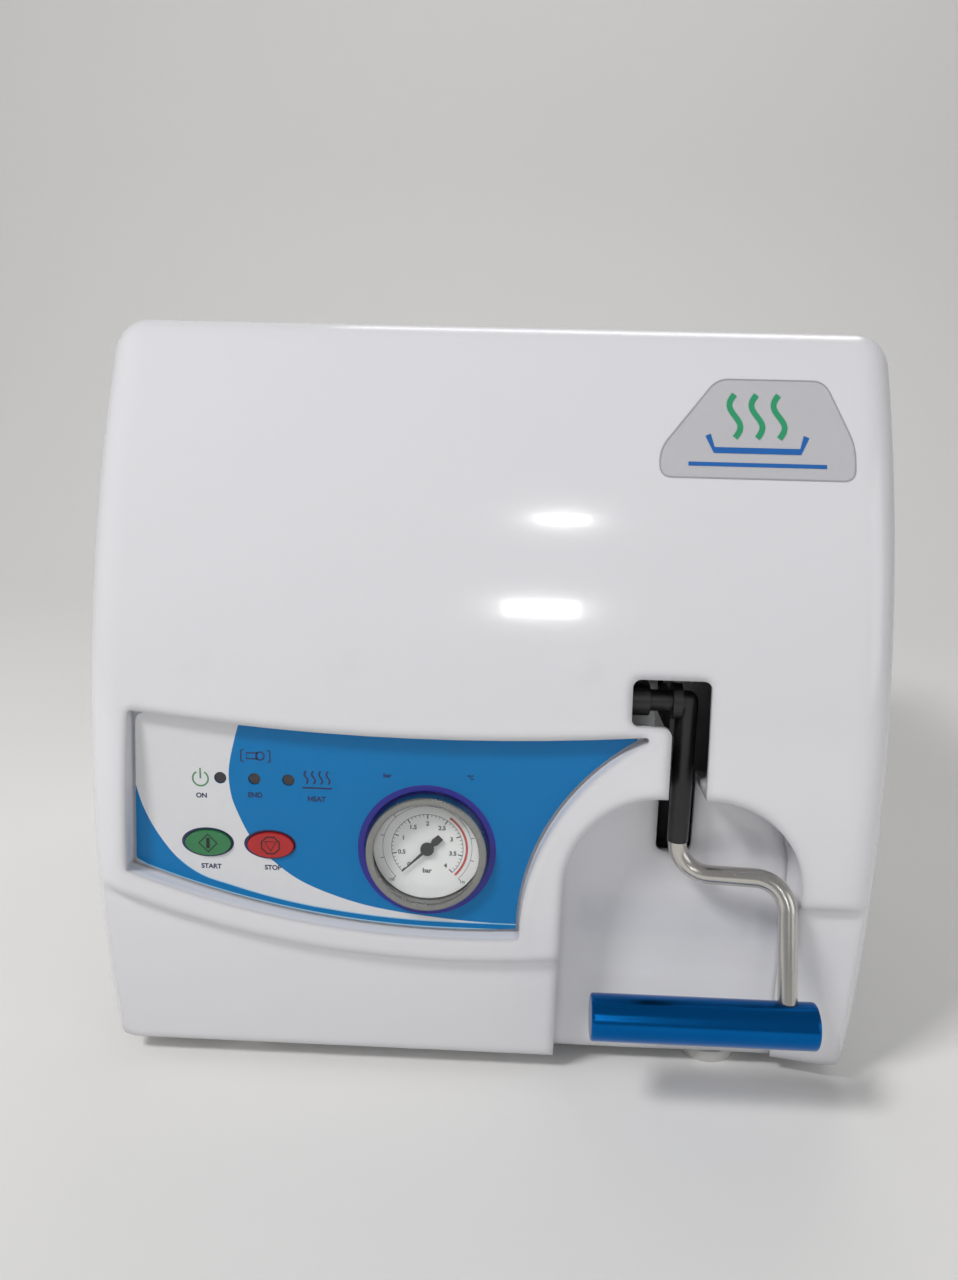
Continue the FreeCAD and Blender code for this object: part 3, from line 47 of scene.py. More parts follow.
# The room: a pale floor that sweeps up behind the machine, soft lamp panels and a pale world.
# The camera looks slightly down and a little to the left, and leans by just over a degree.
PITCH, TURN, LEAN = radians(13), radians(-2.02), radians(-1.39)
look = Vector((sin(TURN) * cos(PITCH), cos(TURN) * cos(PITCH), -sin(PITCH)))
level = Vector((cos(TURN), -sin(TURN), 0))
down = look.cross(level)
right = cos(LEAN) * level + sin(LEAN) * down
down = cos(LEAN) * down - sin(LEAN) * level
camera_data = bpy.data.cameras.new("camera")
camera_data.lens = 28.125
camera = bpy.data.objects.new("camera", camera_data)
axes = Matrix((right, -down, -look)).transposed().to_4x4()
camera.matrix_world = Matrix.Translation((0.011, -0.576, 0.295)) @ axes
bpy.context.collection.objects.link(camera)
bpy.context.scene.camera = camera
bpy.context.scene.view_settings.view_transform = "Standard"


def lamp_panel(name, place, aim, width, height, power, tint=(1, 1, 1), mirrored=True):
    """A soft rectangular lamp that points from its place at a spot."""
    data = bpy.data.lights.new(name, "AREA")
    data.shape = "RECTANGLE"
    data.size, data.size_y = width, height
    data.energy = power
    data.color = tint
    lamp = bpy.data.objects.new(name, data)
    lamp.location = place
    lamp.rotation_euler = (Vector(aim) - Vector(place)).to_track_quat("-Z", "Y").to_euler()
    lamp.visible_glossy = mirrored
    bpy.context.collection.objects.link(lamp)


lamp_panel("key_panel", (-1.1, -1.2, 1.7), (0, 0, 0.15), 0.45, 0.4, 24, mirrored=False)
lamp_panel("fill_panel", (1.7, -1.3, 0.8), (0, 0, 0.15), 1.2, 1.2, 4.5, (0.97, 0.98, 1))
lamp_panel("back_panel", (0.3, 1.5, 2.2), (0, 0, 0.2), 1.6, 1.0, 12)
lamp_panel("window_glint", (0.07, -1.9, 0.72), (0, -0.19, 0.2), 0.17, 0.10, 1.1)
lamp_panel("lamp_glint", (0.12, -1.9, 1.30), (0, -0.19, 0.2), 0.12, 0.05, 0.9)

world = bpy.data.worlds.new("pale_room")
bpy.context.scene.world = world
world.use_nodes = True
room_light = world.node_tree.nodes["Background"]
room_light.inputs["Color"].default_value = (0.86, 0.87, 0.89, 1)
room_light.inputs["Strength"].default_value = 0.33

sweep_start, sweep_radius, sweep_steps = 0.9, 0.8, 16
sweep_profile = [(-3.0, 0.0), (sweep_start, 0.0)]
for step in range(1, sweep_steps + 1):
    turn = step / sweep_steps * pi / 2
    sweep_profile.append((sweep_start + sweep_radius * sin(turn), sweep_radius * (1 - cos(turn))))
sweep_profile.append((sweep_start + sweep_radius, 4.0))
floor_mesh = bpy.data.meshes.new("floor")
floor_verts = [(x, y, z) for y, z in sweep_profile for x in (-4, 4)]
floor_mesh.from_pydata(floor_verts, [], [(k, k + 1, k + 3, k + 2) for k in range(0, len(floor_verts) - 2, 2)])
floor = bpy.data.objects.new("floor", floor_mesh)
bpy.context.collection.objects.link(floor)
floor_paint = bpy.data.materials.new("floor_paint")
floor_paint.use_nodes = True
paint = floor_paint.node_tree.nodes["Principled BSDF"]
paint.inputs["Roughness"].default_value = 0.85
haze = floor_paint.node_tree.nodes.new("ShaderNodeTexNoise")
haze.inputs["Scale"].default_value = 2
haze_tone = floor_paint.node_tree.nodes.new("ShaderNodeValToRGB")
haze_tone.color_ramp.elements[0].color = (0.84, 0.83, 0.81, 1)
haze_tone.color_ramp.elements[1].color = (0.90, 0.89, 0.87, 1)
floor_paint.node_tree.links.new(haze.outputs["Fac"], haze_tone.inputs["Fac"])
floor_paint.node_tree.links.new(haze_tone.outputs["Color"], paint.inputs["Base Color"])
floor_mesh.materials.append(floor_paint)
for face in floor_mesh.polygons:
    face.use_smooth = True

# Feet: four white rubber pads screwed up into the base, with a faintly mottled tone.
# Every moulded or sprayed surface of the machine shares one skin: faint mottling and a fine grain.
def moulded_skin():
    """Group that gives a plain colour faint patches, uneven gloss and a fine grain."""
    group = bpy.data.node_groups.new("moulded_skin", "ShaderNodeTree")
    wires = group.links
    group.interface.new_socket("Colour", in_out="INPUT", socket_type="NodeSocketColor")
    for name in ("Mottle", "Patches", "Roughness", "Spread", "Grain"):
        group.interface.new_socket(name, in_out="INPUT", socket_type="NodeSocketFloat")
    group.interface.new_socket("Colour", in_out="OUTPUT", socket_type="NodeSocketColor")
    group.interface.new_socket("Roughness", in_out="OUTPUT", socket_type="NodeSocketFloat")
    group.interface.new_socket("Relief", in_out="OUTPUT", socket_type="NodeSocketFloat")
    given = group.nodes.new("NodeGroupInput")
    result = group.nodes.new("NodeGroupOutput")
    place = group.nodes.new("ShaderNodeTexCoord")
    patches = group.nodes.new("ShaderNodeTexNoise")
    patches.inputs["Detail"].default_value = 3
    wires.new(place.outputs["Object"], patches.inputs["Vector"])
    wires.new(given.outputs["Patches"], patches.inputs["Scale"])
    grain = group.nodes.new("ShaderNodeTexNoise")
    grain.inputs["Detail"].default_value = 2
    wires.new(place.outputs["Object"], grain.inputs["Vector"])
    wires.new(given.outputs["Grain"], grain.inputs["Scale"])
    centred = group.nodes.new("ShaderNodeMath")
    centred.operation = "SUBTRACT"
    centred.inputs[1].default_value = 0.5
    wires.new(patches.outputs["Fac"], centred.inputs[0])
    tone = group.nodes.new("ShaderNodeMath")
    tone.operation = "MULTIPLY_ADD"
    tone.inputs[2].default_value = 1
    wires.new(centred.outputs["Value"], tone.inputs[0])
    wires.new(given.outputs["Mottle"], tone.inputs[1])
    tinted = group.nodes.new("ShaderNodeVectorMath")
    tinted.operation = "SCALE"
    wires.new(given.outputs["Colour"], tinted.inputs[0])
    wires.new(tone.outputs["Value"], tinted.inputs["Scale"])
    wires.new(tinted.outputs["Vector"], result.inputs["Colour"])
    gloss = group.nodes.new("ShaderNodeMath")
    gloss.operation = "MULTIPLY_ADD"
    wires.new(centred.outputs["Value"], gloss.inputs[0])
    wires.new(given.outputs["Spread"], gloss.inputs[1])
    wires.new(given.outputs["Roughness"], gloss.inputs[2])
    wires.new(gloss.outputs["Value"], result.inputs["Roughness"])
    wires.new(grain.outputs["Fac"], result.inputs["Relief"])
    return group


skin_group = moulded_skin()


def finish_from(group, name, values, edge, relief, **fixed):
    """Material whose colour, gloss and relief come from a group, with rounded-looking edges."""
    material = bpy.data.materials.new(name)
    material.use_nodes = True
    tree = material.node_tree
    shader = tree.nodes["Principled BSDF"]
    effect = tree.nodes.new("ShaderNodeGroup")
    effect.node_tree = group
    for socket, value in values.items():
        effect.inputs[socket].default_value = value
    tree.links.new(effect.outputs["Colour"], shader.inputs["Base Color"])
    tree.links.new(effect.outputs["Roughness"], shader.inputs["Roughness"])
    rounded = tree.nodes.new("ShaderNodeBevel")
    rounded.samples = 6
    rounded.inputs["Radius"].default_value = edge
    bump = tree.nodes.new("ShaderNodeBump")
    bump.inputs["Distance"].default_value = relief
    tree.links.new(effect.outputs["Relief"], bump.inputs["Height"])
    tree.links.new(rounded.outputs["Normal"], bump.inputs["Normal"])
    tree.links.new(bump.outputs["Normal"], shader.inputs["Normal"])
    for socket, value in fixed.items():
        shader.inputs[socket.replace("_", " ")].default_value = value
    return material


def moulded(name, colour, roughness, edge=0.0005, mottle=0.08, patches=18, spread=0.08, grain=900,
            relief=0.00001, **fixed):
    values = {"Colour": (*colour, 1), "Mottle": mottle, "Patches": patches, "Roughness": roughness,
              "Spread": spread, "Grain": grain}
    return finish_from(skin_group, name, values, edge, relief, **fixed)


def dress(material, *names):
    """Gives CAD nodes their finish."""
    for name in names:
        mesh = nodes[name].data
        mesh.materials.clear()
        mesh.materials.append(material)


dress(moulded("foot_rubber", (0.62, 0.61, 0.58), 0.62, mottle=0.25, patches=60, grain=700, relief=0.00004),
      "rubber_feet")

# Base plate and front frame: folded sheet steel, zinc plated, with the fine lines of the rolling mill.
# They carry the chamber's cradle; the feet and their screws hold them off the table.
def drawn_metal():
    """Group for rolled, drawn or brushed metal: streaks along one direction and cloudy tone."""
    group = bpy.data.node_groups.new("drawn_metal", "ShaderNodeTree")
    wires = group.links
    group.interface.new_socket("Colour", in_out="INPUT", socket_type="NodeSocketColor")
    group.interface.new_socket("Streaks", in_out="INPUT", socket_type="NodeSocketVector")
    for name in ("Contrast", "Roughness", "Spread"):
        group.interface.new_socket(name, in_out="INPUT", socket_type="NodeSocketFloat")
    group.interface.new_socket("Colour", in_out="OUTPUT", socket_type="NodeSocketColor")
    group.interface.new_socket("Roughness", in_out="OUTPUT", socket_type="NodeSocketFloat")
    group.interface.new_socket("Relief", in_out="OUTPUT", socket_type="NodeSocketFloat")
    given = group.nodes.new("NodeGroupInput")
    result = group.nodes.new("NodeGroupOutput")
    place = group.nodes.new("ShaderNodeTexCoord")
    stretch = group.nodes.new("ShaderNodeVectorMath")
    stretch.operation = "MULTIPLY"
    wires.new(place.outputs["Object"], stretch.inputs[0])
    wires.new(given.outputs["Streaks"], stretch.inputs[1])
    streaks = group.nodes.new("ShaderNodeTexNoise")
    streaks.inputs["Scale"].default_value = 1
    streaks.inputs["Detail"].default_value = 5
    wires.new(stretch.outputs["Vector"], streaks.inputs["Vector"])
    clouds = group.nodes.new("ShaderNodeTexNoise")
    clouds.inputs["Scale"].default_value = 35
    wires.new(place.outputs["Object"], clouds.inputs["Vector"])
    both = group.nodes.new("ShaderNodeMath")
    both.operation = "ADD"
    wires.new(streaks.outputs["Fac"], both.inputs[0])
    wires.new(clouds.outputs["Fac"], both.inputs[1])
    centred = group.nodes.new("ShaderNodeMath")
    centred.operation = "SUBTRACT"
    centred.inputs[1].default_value = 1
    wires.new(both.outputs["Value"], centred.inputs[0])
    tone = group.nodes.new("ShaderNodeMath")
    tone.operation = "MULTIPLY_ADD"
    tone.inputs[2].default_value = 1
    wires.new(centred.outputs["Value"], tone.inputs[0])
    wires.new(given.outputs["Contrast"], tone.inputs[1])
    tinted = group.nodes.new("ShaderNodeVectorMath")
    tinted.operation = "SCALE"
    wires.new(given.outputs["Colour"], tinted.inputs[0])
    wires.new(tone.outputs["Value"], tinted.inputs["Scale"])
    wires.new(tinted.outputs["Vector"], result.inputs["Colour"])
    gloss = group.nodes.new("ShaderNodeMath")
    gloss.operation = "MULTIPLY_ADD"
    wires.new(centred.outputs["Value"], gloss.inputs[0])
    wires.new(given.outputs["Spread"], gloss.inputs[1])
    wires.new(given.outputs["Roughness"], gloss.inputs[2])
    wires.new(gloss.outputs["Value"], result.inputs["Roughness"])
    wires.new(streaks.outputs["Fac"], result.inputs["Relief"])
    return group


metal_group = drawn_metal()
ALONG_X, ALONG_Y, ALONG_Z = (30, 2500, 2500), (2500, 30, 2500), (2500, 2500, 30)


def metal(name, colour, roughness, streaks, contrast=0.18, spread=0.12, edge=0.0004, relief=0.000004, **fixed):
    values = {"Colour": (*colour, 1), "Streaks": streaks, "Contrast": contrast, "Roughness": roughness,
              "Spread": spread}
    return finish_from(metal_group, name, values, edge, relief, Metallic=1, **fixed)


zinc = metal("zinc_plate", (0.60, 0.61, 0.62), 0.36, ALONG_Y)
dress(zinc, "base_plate", "front_frame", "chamber_cradle")
dress(metal("zinc_screws", (0.62, 0.62, 0.60), 0.3, ALONG_Z), "foot_screws", "striker_bracket", "striker_screws")
dress(metal("ground_pin", (0.55, 0.55, 0.55), 0.2, ALONG_X), "striker_pin", "hinge_pin", "disc_springs")

# Chamber: a deep-drawn stainless vessel with a turned flange, wrapped in a mica heater band
# and a blanket of mineral wool. A thermostat sits on its rear end.
dress(metal("chamber_steel", (0.57, 0.57, 0.56), 0.26, ALONG_Y, contrast=0.12), "pressure_chamber")
dress(moulded("mica_band", (0.42, 0.33, 0.20), 0.5, mottle=0.5, patches=120, relief=0.00005), "band_heater")
dress(moulded("blanket_wool", (0.66, 0.62, 0.52), 0.95, mottle=0.5, patches=90, grain=350, relief=0.0008),
      "insulation_blanket")
dress(moulded("thermostat_ceramic", (0.70, 0.68, 0.63), 0.45, mottle=0.15), "control_thermostat")

# Inside the chamber: a folded wire-edge rack with three pressed trays of thin stainless sheet.
dress(metal("rack_steel", (0.58, 0.58, 0.57), 0.24, ALONG_Y), "tray_rack")
dress(metal("tray_steel", (0.62, 0.62, 0.61), 0.3, ALONG_Y), "instrument_tray_1", "instrument_tray_2",
      "instrument_tray_3")

# Lid: a turned stainless disc with a white silicone ring in its groove and a threaded stud
# that the lever's cam pushes home.
dress(metal("lid_steel", (0.58, 0.58, 0.57), 0.3, (2200, 30, 2200)), "chamber_lid", "pressure_stud")
dress(moulded("silicone_ring", (0.66, 0.64, 0.60), 0.5, mottle=0.1, relief=0.00002), "lid_gasket")

# Door frame: a folded steel bridge behind the front cover, on a pair of stainless hinge leaves
# screwed to the sides of both shells.
dress(metal("bridge_steel", (0.56, 0.57, 0.58), 0.38, ALONG_X), "door_bridge")
dress(metal("hinge_steel", (0.56, 0.56, 0.55), 0.28, ALONG_Z), "hinge_door_leaf", "hinge_frame_leaf")
dress(metal("hinge_screw_steel", (0.5, 0.5, 0.5), 0.25, ALONG_X), "hinge_door_screws", "hinge_frame_screws")

# Lever: black lacquered steel shaft and arm in bronze bushes, a bent stainless rod of 8 mm
# and a turned grip of blue anodised aluminium.
lacquer = moulded("black_lacquer", (0.011, 0.011, 0.012), 0.34, mottle=0.4, patches=50, spread=0.14,
                  grain=1400, relief=0.00002, Specular_IOR_Level=0.55)
dress(lacquer, "lever_shaft", "latch_claw", "pressure_cam", "bearing_blocks")
bearing_low, bearing_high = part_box("bearing_blocks")
bush_low, bush_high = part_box("shaft_bushes")
axis_z, bush_reach = (bush_low[2] + bush_high[2]) / 2, (bush_high[2] - bush_low[2]) / 2
nose_reach = (bush_low[1] + bush_high[1]) / 2 - bearing_low[1]
bearing_ends = sorted({round(corner.co.x, 5) for corner in nodes["bearing_blocks"].data.vertices})
nose_steps = 24
nose = [(bearing_low[1] + nose_reach - nose_reach * sin(turn), axis_z + nose_reach * cos(turn))
        for turn in (pi * k / nose_steps for k in range(nose_steps + 1))]
nose += [(bearing_high[1], axis_z - nose_reach), (bearing_high[1], axis_z), (bearing_high[1], axis_z + nose_reach)]
bore = []
for y, z in nose:
    away = Vector((y - bearing_low[1] - nose_reach, z - axis_z)).normalized()
    bore.append((bearing_low[1] + nose_reach + bush_reach * away[0], axis_z + bush_reach * away[1]))
bearing_work = bmesh.new()
for x_low, x_high in zip(bearing_ends[::2], bearing_ends[1::2]):
    rings = [[bearing_work.verts.new((x, y, z)) for y, z in ring]
             for x, ring in ((x_low, nose), (x_high, nose), (x_high, bore), (x_low, bore))]
    for ring, following in zip(rings, rings[1:] + rings[:1]):
        for k in range(len(ring)):
            step_on = (k + 1) % len(ring)
            bearing_work.faces.new((ring[k], ring[step_on], following[step_on], following[k]))
bmesh.ops.recalc_face_normals(bearing_work, faces=bearing_work.faces)
for face in bearing_work.faces:
    face.smooth = abs(face.normal.x) < 0.5
for edge in bearing_work.edges:
    edge.smooth = edge.calc_face_angle(pi) < radians(30)
bearing_mesh = bpy.data.meshes.new("bearing_noses")
bearing_work.to_mesh(bearing_mesh)
bearing_work.free()
bearing_mesh.materials.append(lacquer)
bearings = bpy.data.objects.new("bearing_noses", bearing_mesh)
bpy.context.collection.objects.link(bearings)
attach(bearings, "door")
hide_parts("bearing_blocks")
dress(metal("bush_bronze", (0.55, 0.36, 0.15), 0.32, ALONG_X), "shaft_bushes")
dress(metal("rod_steel", (0.62, 0.60, 0.56), 0.25, (2200, 2200, 200), contrast=0.10, spread=0.08), "lever_rod")
dress(metal("blue_anodised", (0.003, 0.125, 0.41), 0.19, (15, 1500, 1500), contrast=0.12, spread=0.05, edge=0.0016),
      "lever_grip")

# Control board behind the panel: green laminate on moulded pillars, with three 5 mm lamps
# that look nearly black while they are off.
dress(moulded("board_green", (0.02, 0.16, 0.06), 0.4, mottle=0.3), "control_board")
dress(metal("board_screw_steel", (0.6, 0.6, 0.58), 0.3, ALONG_Y), "board_screws")
dress(moulded("lamp_off", (0.012, 0.008, 0.012), 0.16, mottle=0.3, Coat_Weight=0.6), "indicator_lamps")

# Shells: the front cover and the rear housing are glossy white plastic mouldings.
# Wide soft lips run round the panel's recess and the handle's niche.
shell_white = (0.78, 0.775, 0.80)
dress(moulded("cover_plastic", shell_white, 0.13, edge=0.007, mottle=0.02, patches=9, spread=0.05,
              grain=260, relief=0.000012, Coat_Weight=0.35, Coat_Roughness=0.05), "front_cover")
dress(moulded("housing_plastic", shell_white, 0.2, edge=0.002, mottle=0.02, patches=9, spread=0.06,
              grain=260, relief=0.000012), "rear_housing")

# Rear panel: powder-coated sheet steel with air slots, held by six black screws. It carries the
# mains inlet, a fuse holder, a rocker switch, the safety valve and the drain fitting.
dress(moulded("grey_powder_coat", (0.44, 0.45, 0.46), 0.55, mottle=0.06, grain=1300, relief=0.00006), "rear_panel")
dress(metal("panel_screw_steel", (0.5, 0.5, 0.49), 0.32, ALONG_Y), "rear_panel_screws")
black_moulding = moulded("black_moulding", (0.014, 0.014, 0.015), 0.42, mottle=0.3, grain=1500, relief=0.00003)
dress(black_moulding, "mains_inlet", "fuse_holder", "switch_housing", "mains_rocker", "valve_coil")
brass = metal("valve_brass", (0.62, 0.42, 0.16), 0.28, ALONG_Y)
dress(brass, "safety_valve", "solenoid_valve", "drain_fitting")
dress(metal("ring_steel", (0.56, 0.56, 0.55), 0.22, ALONG_X), "safety_valve_ring")
dress(metal("pipe_steel", (0.56, 0.56, 0.55), 0.24, ALONG_Z), "exhaust_pipe", "drain_pipe")


def lettering(name, words, size, place, facing, material, body, bold=0.03, thick=0.00004):
    """Printed words that face the front (-1) or the rear (1) of the machine."""
    curve = bpy.data.curves.new(name, "FONT")
    curve.body = words
    curve.size = size
    curve.align_x = "CENTER"
    curve.align_y = "CENTER"
    curve.extrude = thick / 2
    curve.offset = bold * size
    loose = bpy.data.objects.new(name, curve)
    mesh = bpy.data.meshes.new_from_object(loose)
    bpy.data.objects.remove(loose)
    turn = Matrix.Rotation(pi / 2, 4, "X") if facing < 0 else Matrix.Rotation(pi, 4, "Z") @ Matrix.Rotation(pi / 2, 4, "X")
    mesh.transform(Matrix.Translation(place) @ turn)
    return printed(name, mesh, material, body)


def printed(name, mesh, material, body):
    """Puts a print, made in place as a mesh, on the body that carries it."""
    mesh.name = name
    mesh.materials.clear()
    mesh.materials.append(material)
    piece = bpy.data.objects.new(name, mesh)
    bpy.context.collection.objects.link(piece)
    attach(piece, body)
    return piece


white_ink = moulded("white_ink", (0.74, 0.74, 0.75), 0.4, mottle=0.05, patches=300)
inlet_low, inlet_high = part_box("switch_housing")
mark_x = (inlet_low[0] + inlet_high[0]) / 2
mark_y = inlet_high[1] + 0.02 * MM
lettering("switch_on_mark", "I", 3 * MM, (mark_x, mark_y, inlet_high[2] - 2.2 * MM), 1, white_ink, "base")
lettering("switch_off_mark", "O", 3 * MM, (mark_x, mark_y, inlet_low[2] + 2.2 * MM), 1, white_ink, "base")

# Panel overlay: a polycarbonate sheet printed from behind and glued into the cover's recess.
# A white crescent, a thin blue line and pale edges sweep across its blue field.
INK_GAP = 0.04 * MM
overlay_low, overlay_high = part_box("panel_overlay")
sheet_y = overlay_low[1]


def smooth_through(points, steps=8):
    """Points of a smooth open curve through the given ones."""
    out = []
    last = len(points) - 1
    for k in range(last):
        p0, p1, p2, p3 = (Vector(points[min(max(k + d, 0), last)]) for d in (-1, 0, 1, 2))
        for step in range(steps):
            t = step / steps
            out.append(0.5 * ((2 * p1) + (p2 - p0) * t + (2 * p0 - 5 * p1 + 4 * p2 - p3) * t * t
                              + (3 * p1 - p0 - 3 * p2 + p3) * t ** 3))
    out.append(Vector(points[last]))
    return [(p[0], p[1]) for p in out]


def sheet_loops(mesh, y):
    """Closed outlines, as (x, z) points, of a flat node's face that looks to the front."""
    front = [f for f in mesh.polygons if f.normal.y < -0.9 and abs(f.center.y - y) < 0.01 * MM]
    def key(v):
        return (round(mesh.vertices[v].co.x, 7), round(mesh.vertices[v].co.z, 7))
    count, follow = {}, {}
    for face in front:
        corners = [key(v) for v in face.vertices]
        for a, b in zip(corners, corners[1:] + corners[:1]):
            count[a, b] = count.get((a, b), 0) + 1
    for a, b in count:
        if (b, a) not in count:
            follow[a] = b
    loops = []
    while follow:
        start, here = next(iter(follow.items()))
        loop = [start]
        del follow[start]
        while here != start and here in follow:
            loop.append(here)
            here = follow.pop(here)
        loops.append(loop)
    return loops


def turned_left(loop):
    """The loop in the order that keeps its inside on the left."""
    area = sum(a[0] * b[1] - b[0] * a[1] for a, b in zip(loop, loop[1:] + loop[:1]))
    return loop if area > 0 else loop[::-1]


def ellipse(x, z, wide, tall, count=72):
    return [(x + wide * cos(2 * pi * k / count), z + tall * sin(2 * pi * k / count)) for k in range(count)]


def printed_field(name, y, outlines, tell, materials, body):
    """Flat print at depth y. tell(set of outline numbers) gives a material number, or None for bare."""
    points, faces = [], []
    for loop in outlines:
        start = len(points)
        points += [Vector(p) for p in turned_left(loop)]
        faces.append(list(range(start, len(points))))
    spots, _, triangles, _, _, owners = delaunay_2d_cdt(points, [], faces, 0, 1e-7)
    mesh = bpy.data.meshes.new(name)
    kept, inks = [], []
    for triangle, owner in zip(triangles, owners):
        ink = tell(set(owner))
        if ink is not None:
            kept.append(tuple(triangle))
            inks.append(ink)
    mesh.from_pydata([(p[0], y, p[1]) for p in spots], [], kept)
    for ink in materials:
        mesh.materials.append(ink)
    for face, ink in zip(mesh.polygons, inks):
        face.material_index = ink
        if face.normal.y > 0:
            face.flip()
    piece = bpy.data.objects.new(name, mesh)
    bpy.context.collection.objects.link(piece)
    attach(piece, body)
    return piece


def in_mm(points):
    return [(x * MM, z * MM) for x, z in points]


ink = dict(mottle=0.05, patches=220, spread=0.05, grain=1600, relief=0.000004, Coat_Weight=0.3, Coat_Roughness=0.12)
panel_blue = moulded("panel_blue", (0.002, 0.18, 0.46), 0.2, Specular_IOR_Level=0.12, **ink)
panel_white = moulded("panel_white", (0.72, 0.72, 0.74), 0.3, **ink)
panel_pale = moulded("panel_pale_edge", (0.36, 0.60, 0.76), 0.3, **ink)
royal_blue = moulded("royal_blue", (0.006, 0.006, 0.27), 0.3, **ink)
navy = moulded("navy_ink", (0.010, 0.014, 0.09), 0.35, **ink)
dress(panel_blue, "panel_overlay")

crescent_right = smooth_through(in_mm([
    (-101.5, 170), (-102.7, 164.3), (-104.9, 156.2), (-107.1, 145.7), (-107.1, 136.5), (-104.9, 127.3),
    (-98, 112.8), (-88.1, 102.4), (-75.5, 93.6), (-56.4, 86.3), (-37.2, 82.2), (-11.6, 79.3), (4, 78.4), (20, 78)]))
loops = sorted(sheet_loops(nodes["panel_overlay"].data, sheet_y), key=lambda loop: min(p[0] for p in loop))
lower_edge = sorted(p for p in loops[0] if p[0] < 0.015 and p[1] < 0.103 - 0.2 * (p[0] + 0.149))


def edge_height(x):
    """Height of the sheet's lower edge at x."""
    for (x0, z0), (x1, z1) in zip(lower_edge, lower_edge[1:]):
        if x0 <= x <= x1 and x1 > x0:
            return z0 + (z1 - z0) * (x - x0) / (x1 - x0)
    return lower_edge[0][1] if x < lower_edge[0][0] else lower_edge[-1][1]


patch_left = smooth_through(in_mm([
    (-158, 160), (-151, 147), (-147.9, 137.6), (-144.5, 125.7), (-138.7, 113.8), (-130.3, 102.6),
    (-120.3, 95.4), (-107.7, 91.2), (-96, 87.8), (-84, 84.9), (-72, 82.6)]))
line_x = [(-60 + 4 * k) * MM for k in range(21)]
line_width, foot_width = 2.3 * MM, 0.55 * MM
crescent_left = patch_left + [(x, edge_height(x) + line_width + foot_width) for x in line_x]
foot_x = [(-152 + 4 * k) * MM for k in range(44)]
line_foot = [(x, edge_height(x) + foot_width) for x in foot_x]
crescent = crescent_right + crescent_left[::-1] + in_mm([(-158, 175), (-101.5, 175)])
below_line = line_foot + in_mm([(22, 60), (-154, 60)])
pale_width = 0.5 * MM
line_top = crescent_left[len(patch_left) // 2:]
pale_line = [(x, z + pale_width) for x, z in line_top] + line_top[::-1]
gauge_x, gauge_z = -0.023, 0.111
gauge_ring = ellipse(gauge_x, gauge_z, 29.6 * MM, 29.6 * MM, 96)
button_places = {"start": (-0.117, 0.111), "stop": (-0.090, 0.111)}
button_rings = [ellipse(x - 0.35 * MM, z, 11.3 * MM, 6.7 * MM) for x, z in button_places.values()]
outlines = loops + [crescent, below_line, pale_line, gauge_ring, *button_rings]
first = len(loops)
CRESCENT, BELOW, PALE, RING = first, first + 1, first + 2, first + 3


def panel_ink(owners):
    """Which ink lies where: rings over pale edge over crescent over blue; nothing over the openings."""
    if 0 not in owners or any(k in owners for k in range(1, first)):
        return None
    if RING in owners:
        return 3
    if RING + 1 in owners or RING + 2 in owners:
        return 4
    if PALE in owners:
        return 2
    if BELOW in owners:
        return 2
    if CRESCENT in owners:
        return 1
    return 0


printed_field("panel_print", sheet_y - INK_GAP, outlines, panel_ink,
              [panel_blue, panel_white, panel_pale, royal_blue, navy], "door")


def stroke(mesh, points, width, y, closed=False):
    """Adds an inked line of the given width to a bmesh, at depth y."""
    count = len(points)
    pairs = []
    for k, (x, z) in enumerate(points):
        before = points[(k - 1) % count] if closed or k else points[0]
        after = points[(k + 1) % count] if closed or k < count - 1 else points[-1]
        run = Vector((after[0] - before[0], after[1] - before[1])).normalized()
        side = Vector((-run[1], run[0])) * width / 2
        pairs.append((mesh.verts.new((x + side[0], y, z + side[1])), mesh.verts.new((x - side[0], y, z - side[1]))))
    for (a, b), (c, d) in zip(pairs, pairs[1:] + (pairs[:1] if closed else [])):
        mesh.faces.new((a, b, d, c))


def drawn(name, lines, y, material, body):
    """A printed drawing: each line is (points in millimetres, width in millimetres, closed)."""
    work = bmesh.new()
    for points, width, closed in lines:
        stroke(work, in_mm(points), width * MM, y, closed)
    for face in work.faces:
        face.normal_update()
        if face.normal.y > 0:
            face.normal_flip()
    mesh = bpy.data.meshes.new(name)
    work.to_mesh(mesh)
    work.free()
    return printed(name, mesh, material, body)


def arc(x, z, radius, start, end, steps=28):
    """Points of an arc in millimetres; angles in degrees, anticlockwise from the right."""
    turns = [radians(start + (end - start) * k / steps) for k in range(steps + 1)]
    return [(x + radius * cos(t), z + radius * sin(t)) for t in turns]


text_y = sheet_y - 2 * INK_GAP
green_ink = moulded("green_ink", (0.07, 0.26, 0.10), 0.35, **ink)
drawn("power_mark", [(arc(-119.5, 139.9, 3.3, 120, 420), 0.7, False), ([(-119.5, 139.9), (-119.5, 144.6)], 0.7, False)],
      text_y, green_ink, "door")
chamber_mark = [
    ([(-100.6, 153.4), (-101.9, 153.1), (-101.9, 148.4), (-100.6, 148.1)], 0.6, False),
    ([(-90.9, 153.4), (-89.6, 153.1), (-89.6, 148.4), (-90.9, 148.1)], 0.6, False),
    ([(-99.6, 152.1), (-95, 152.1), (-95, 149.5), (-99.6, 149.5)], 0.65, True),
    (arc(-93.8, 150.8, 1.75, 0, 345), 0.65, True)]
drawn("chamber_mark", chamber_mark, text_y, navy, "door")
steam_waves = []
for k in range(4):
    x = -74.4 + 3.1 * k
    steam_waves.append(([(x + 0.75 * sin(t * pi / 4), 139.2 + 0.72 * t) for t in range(9)], 0.75, False))
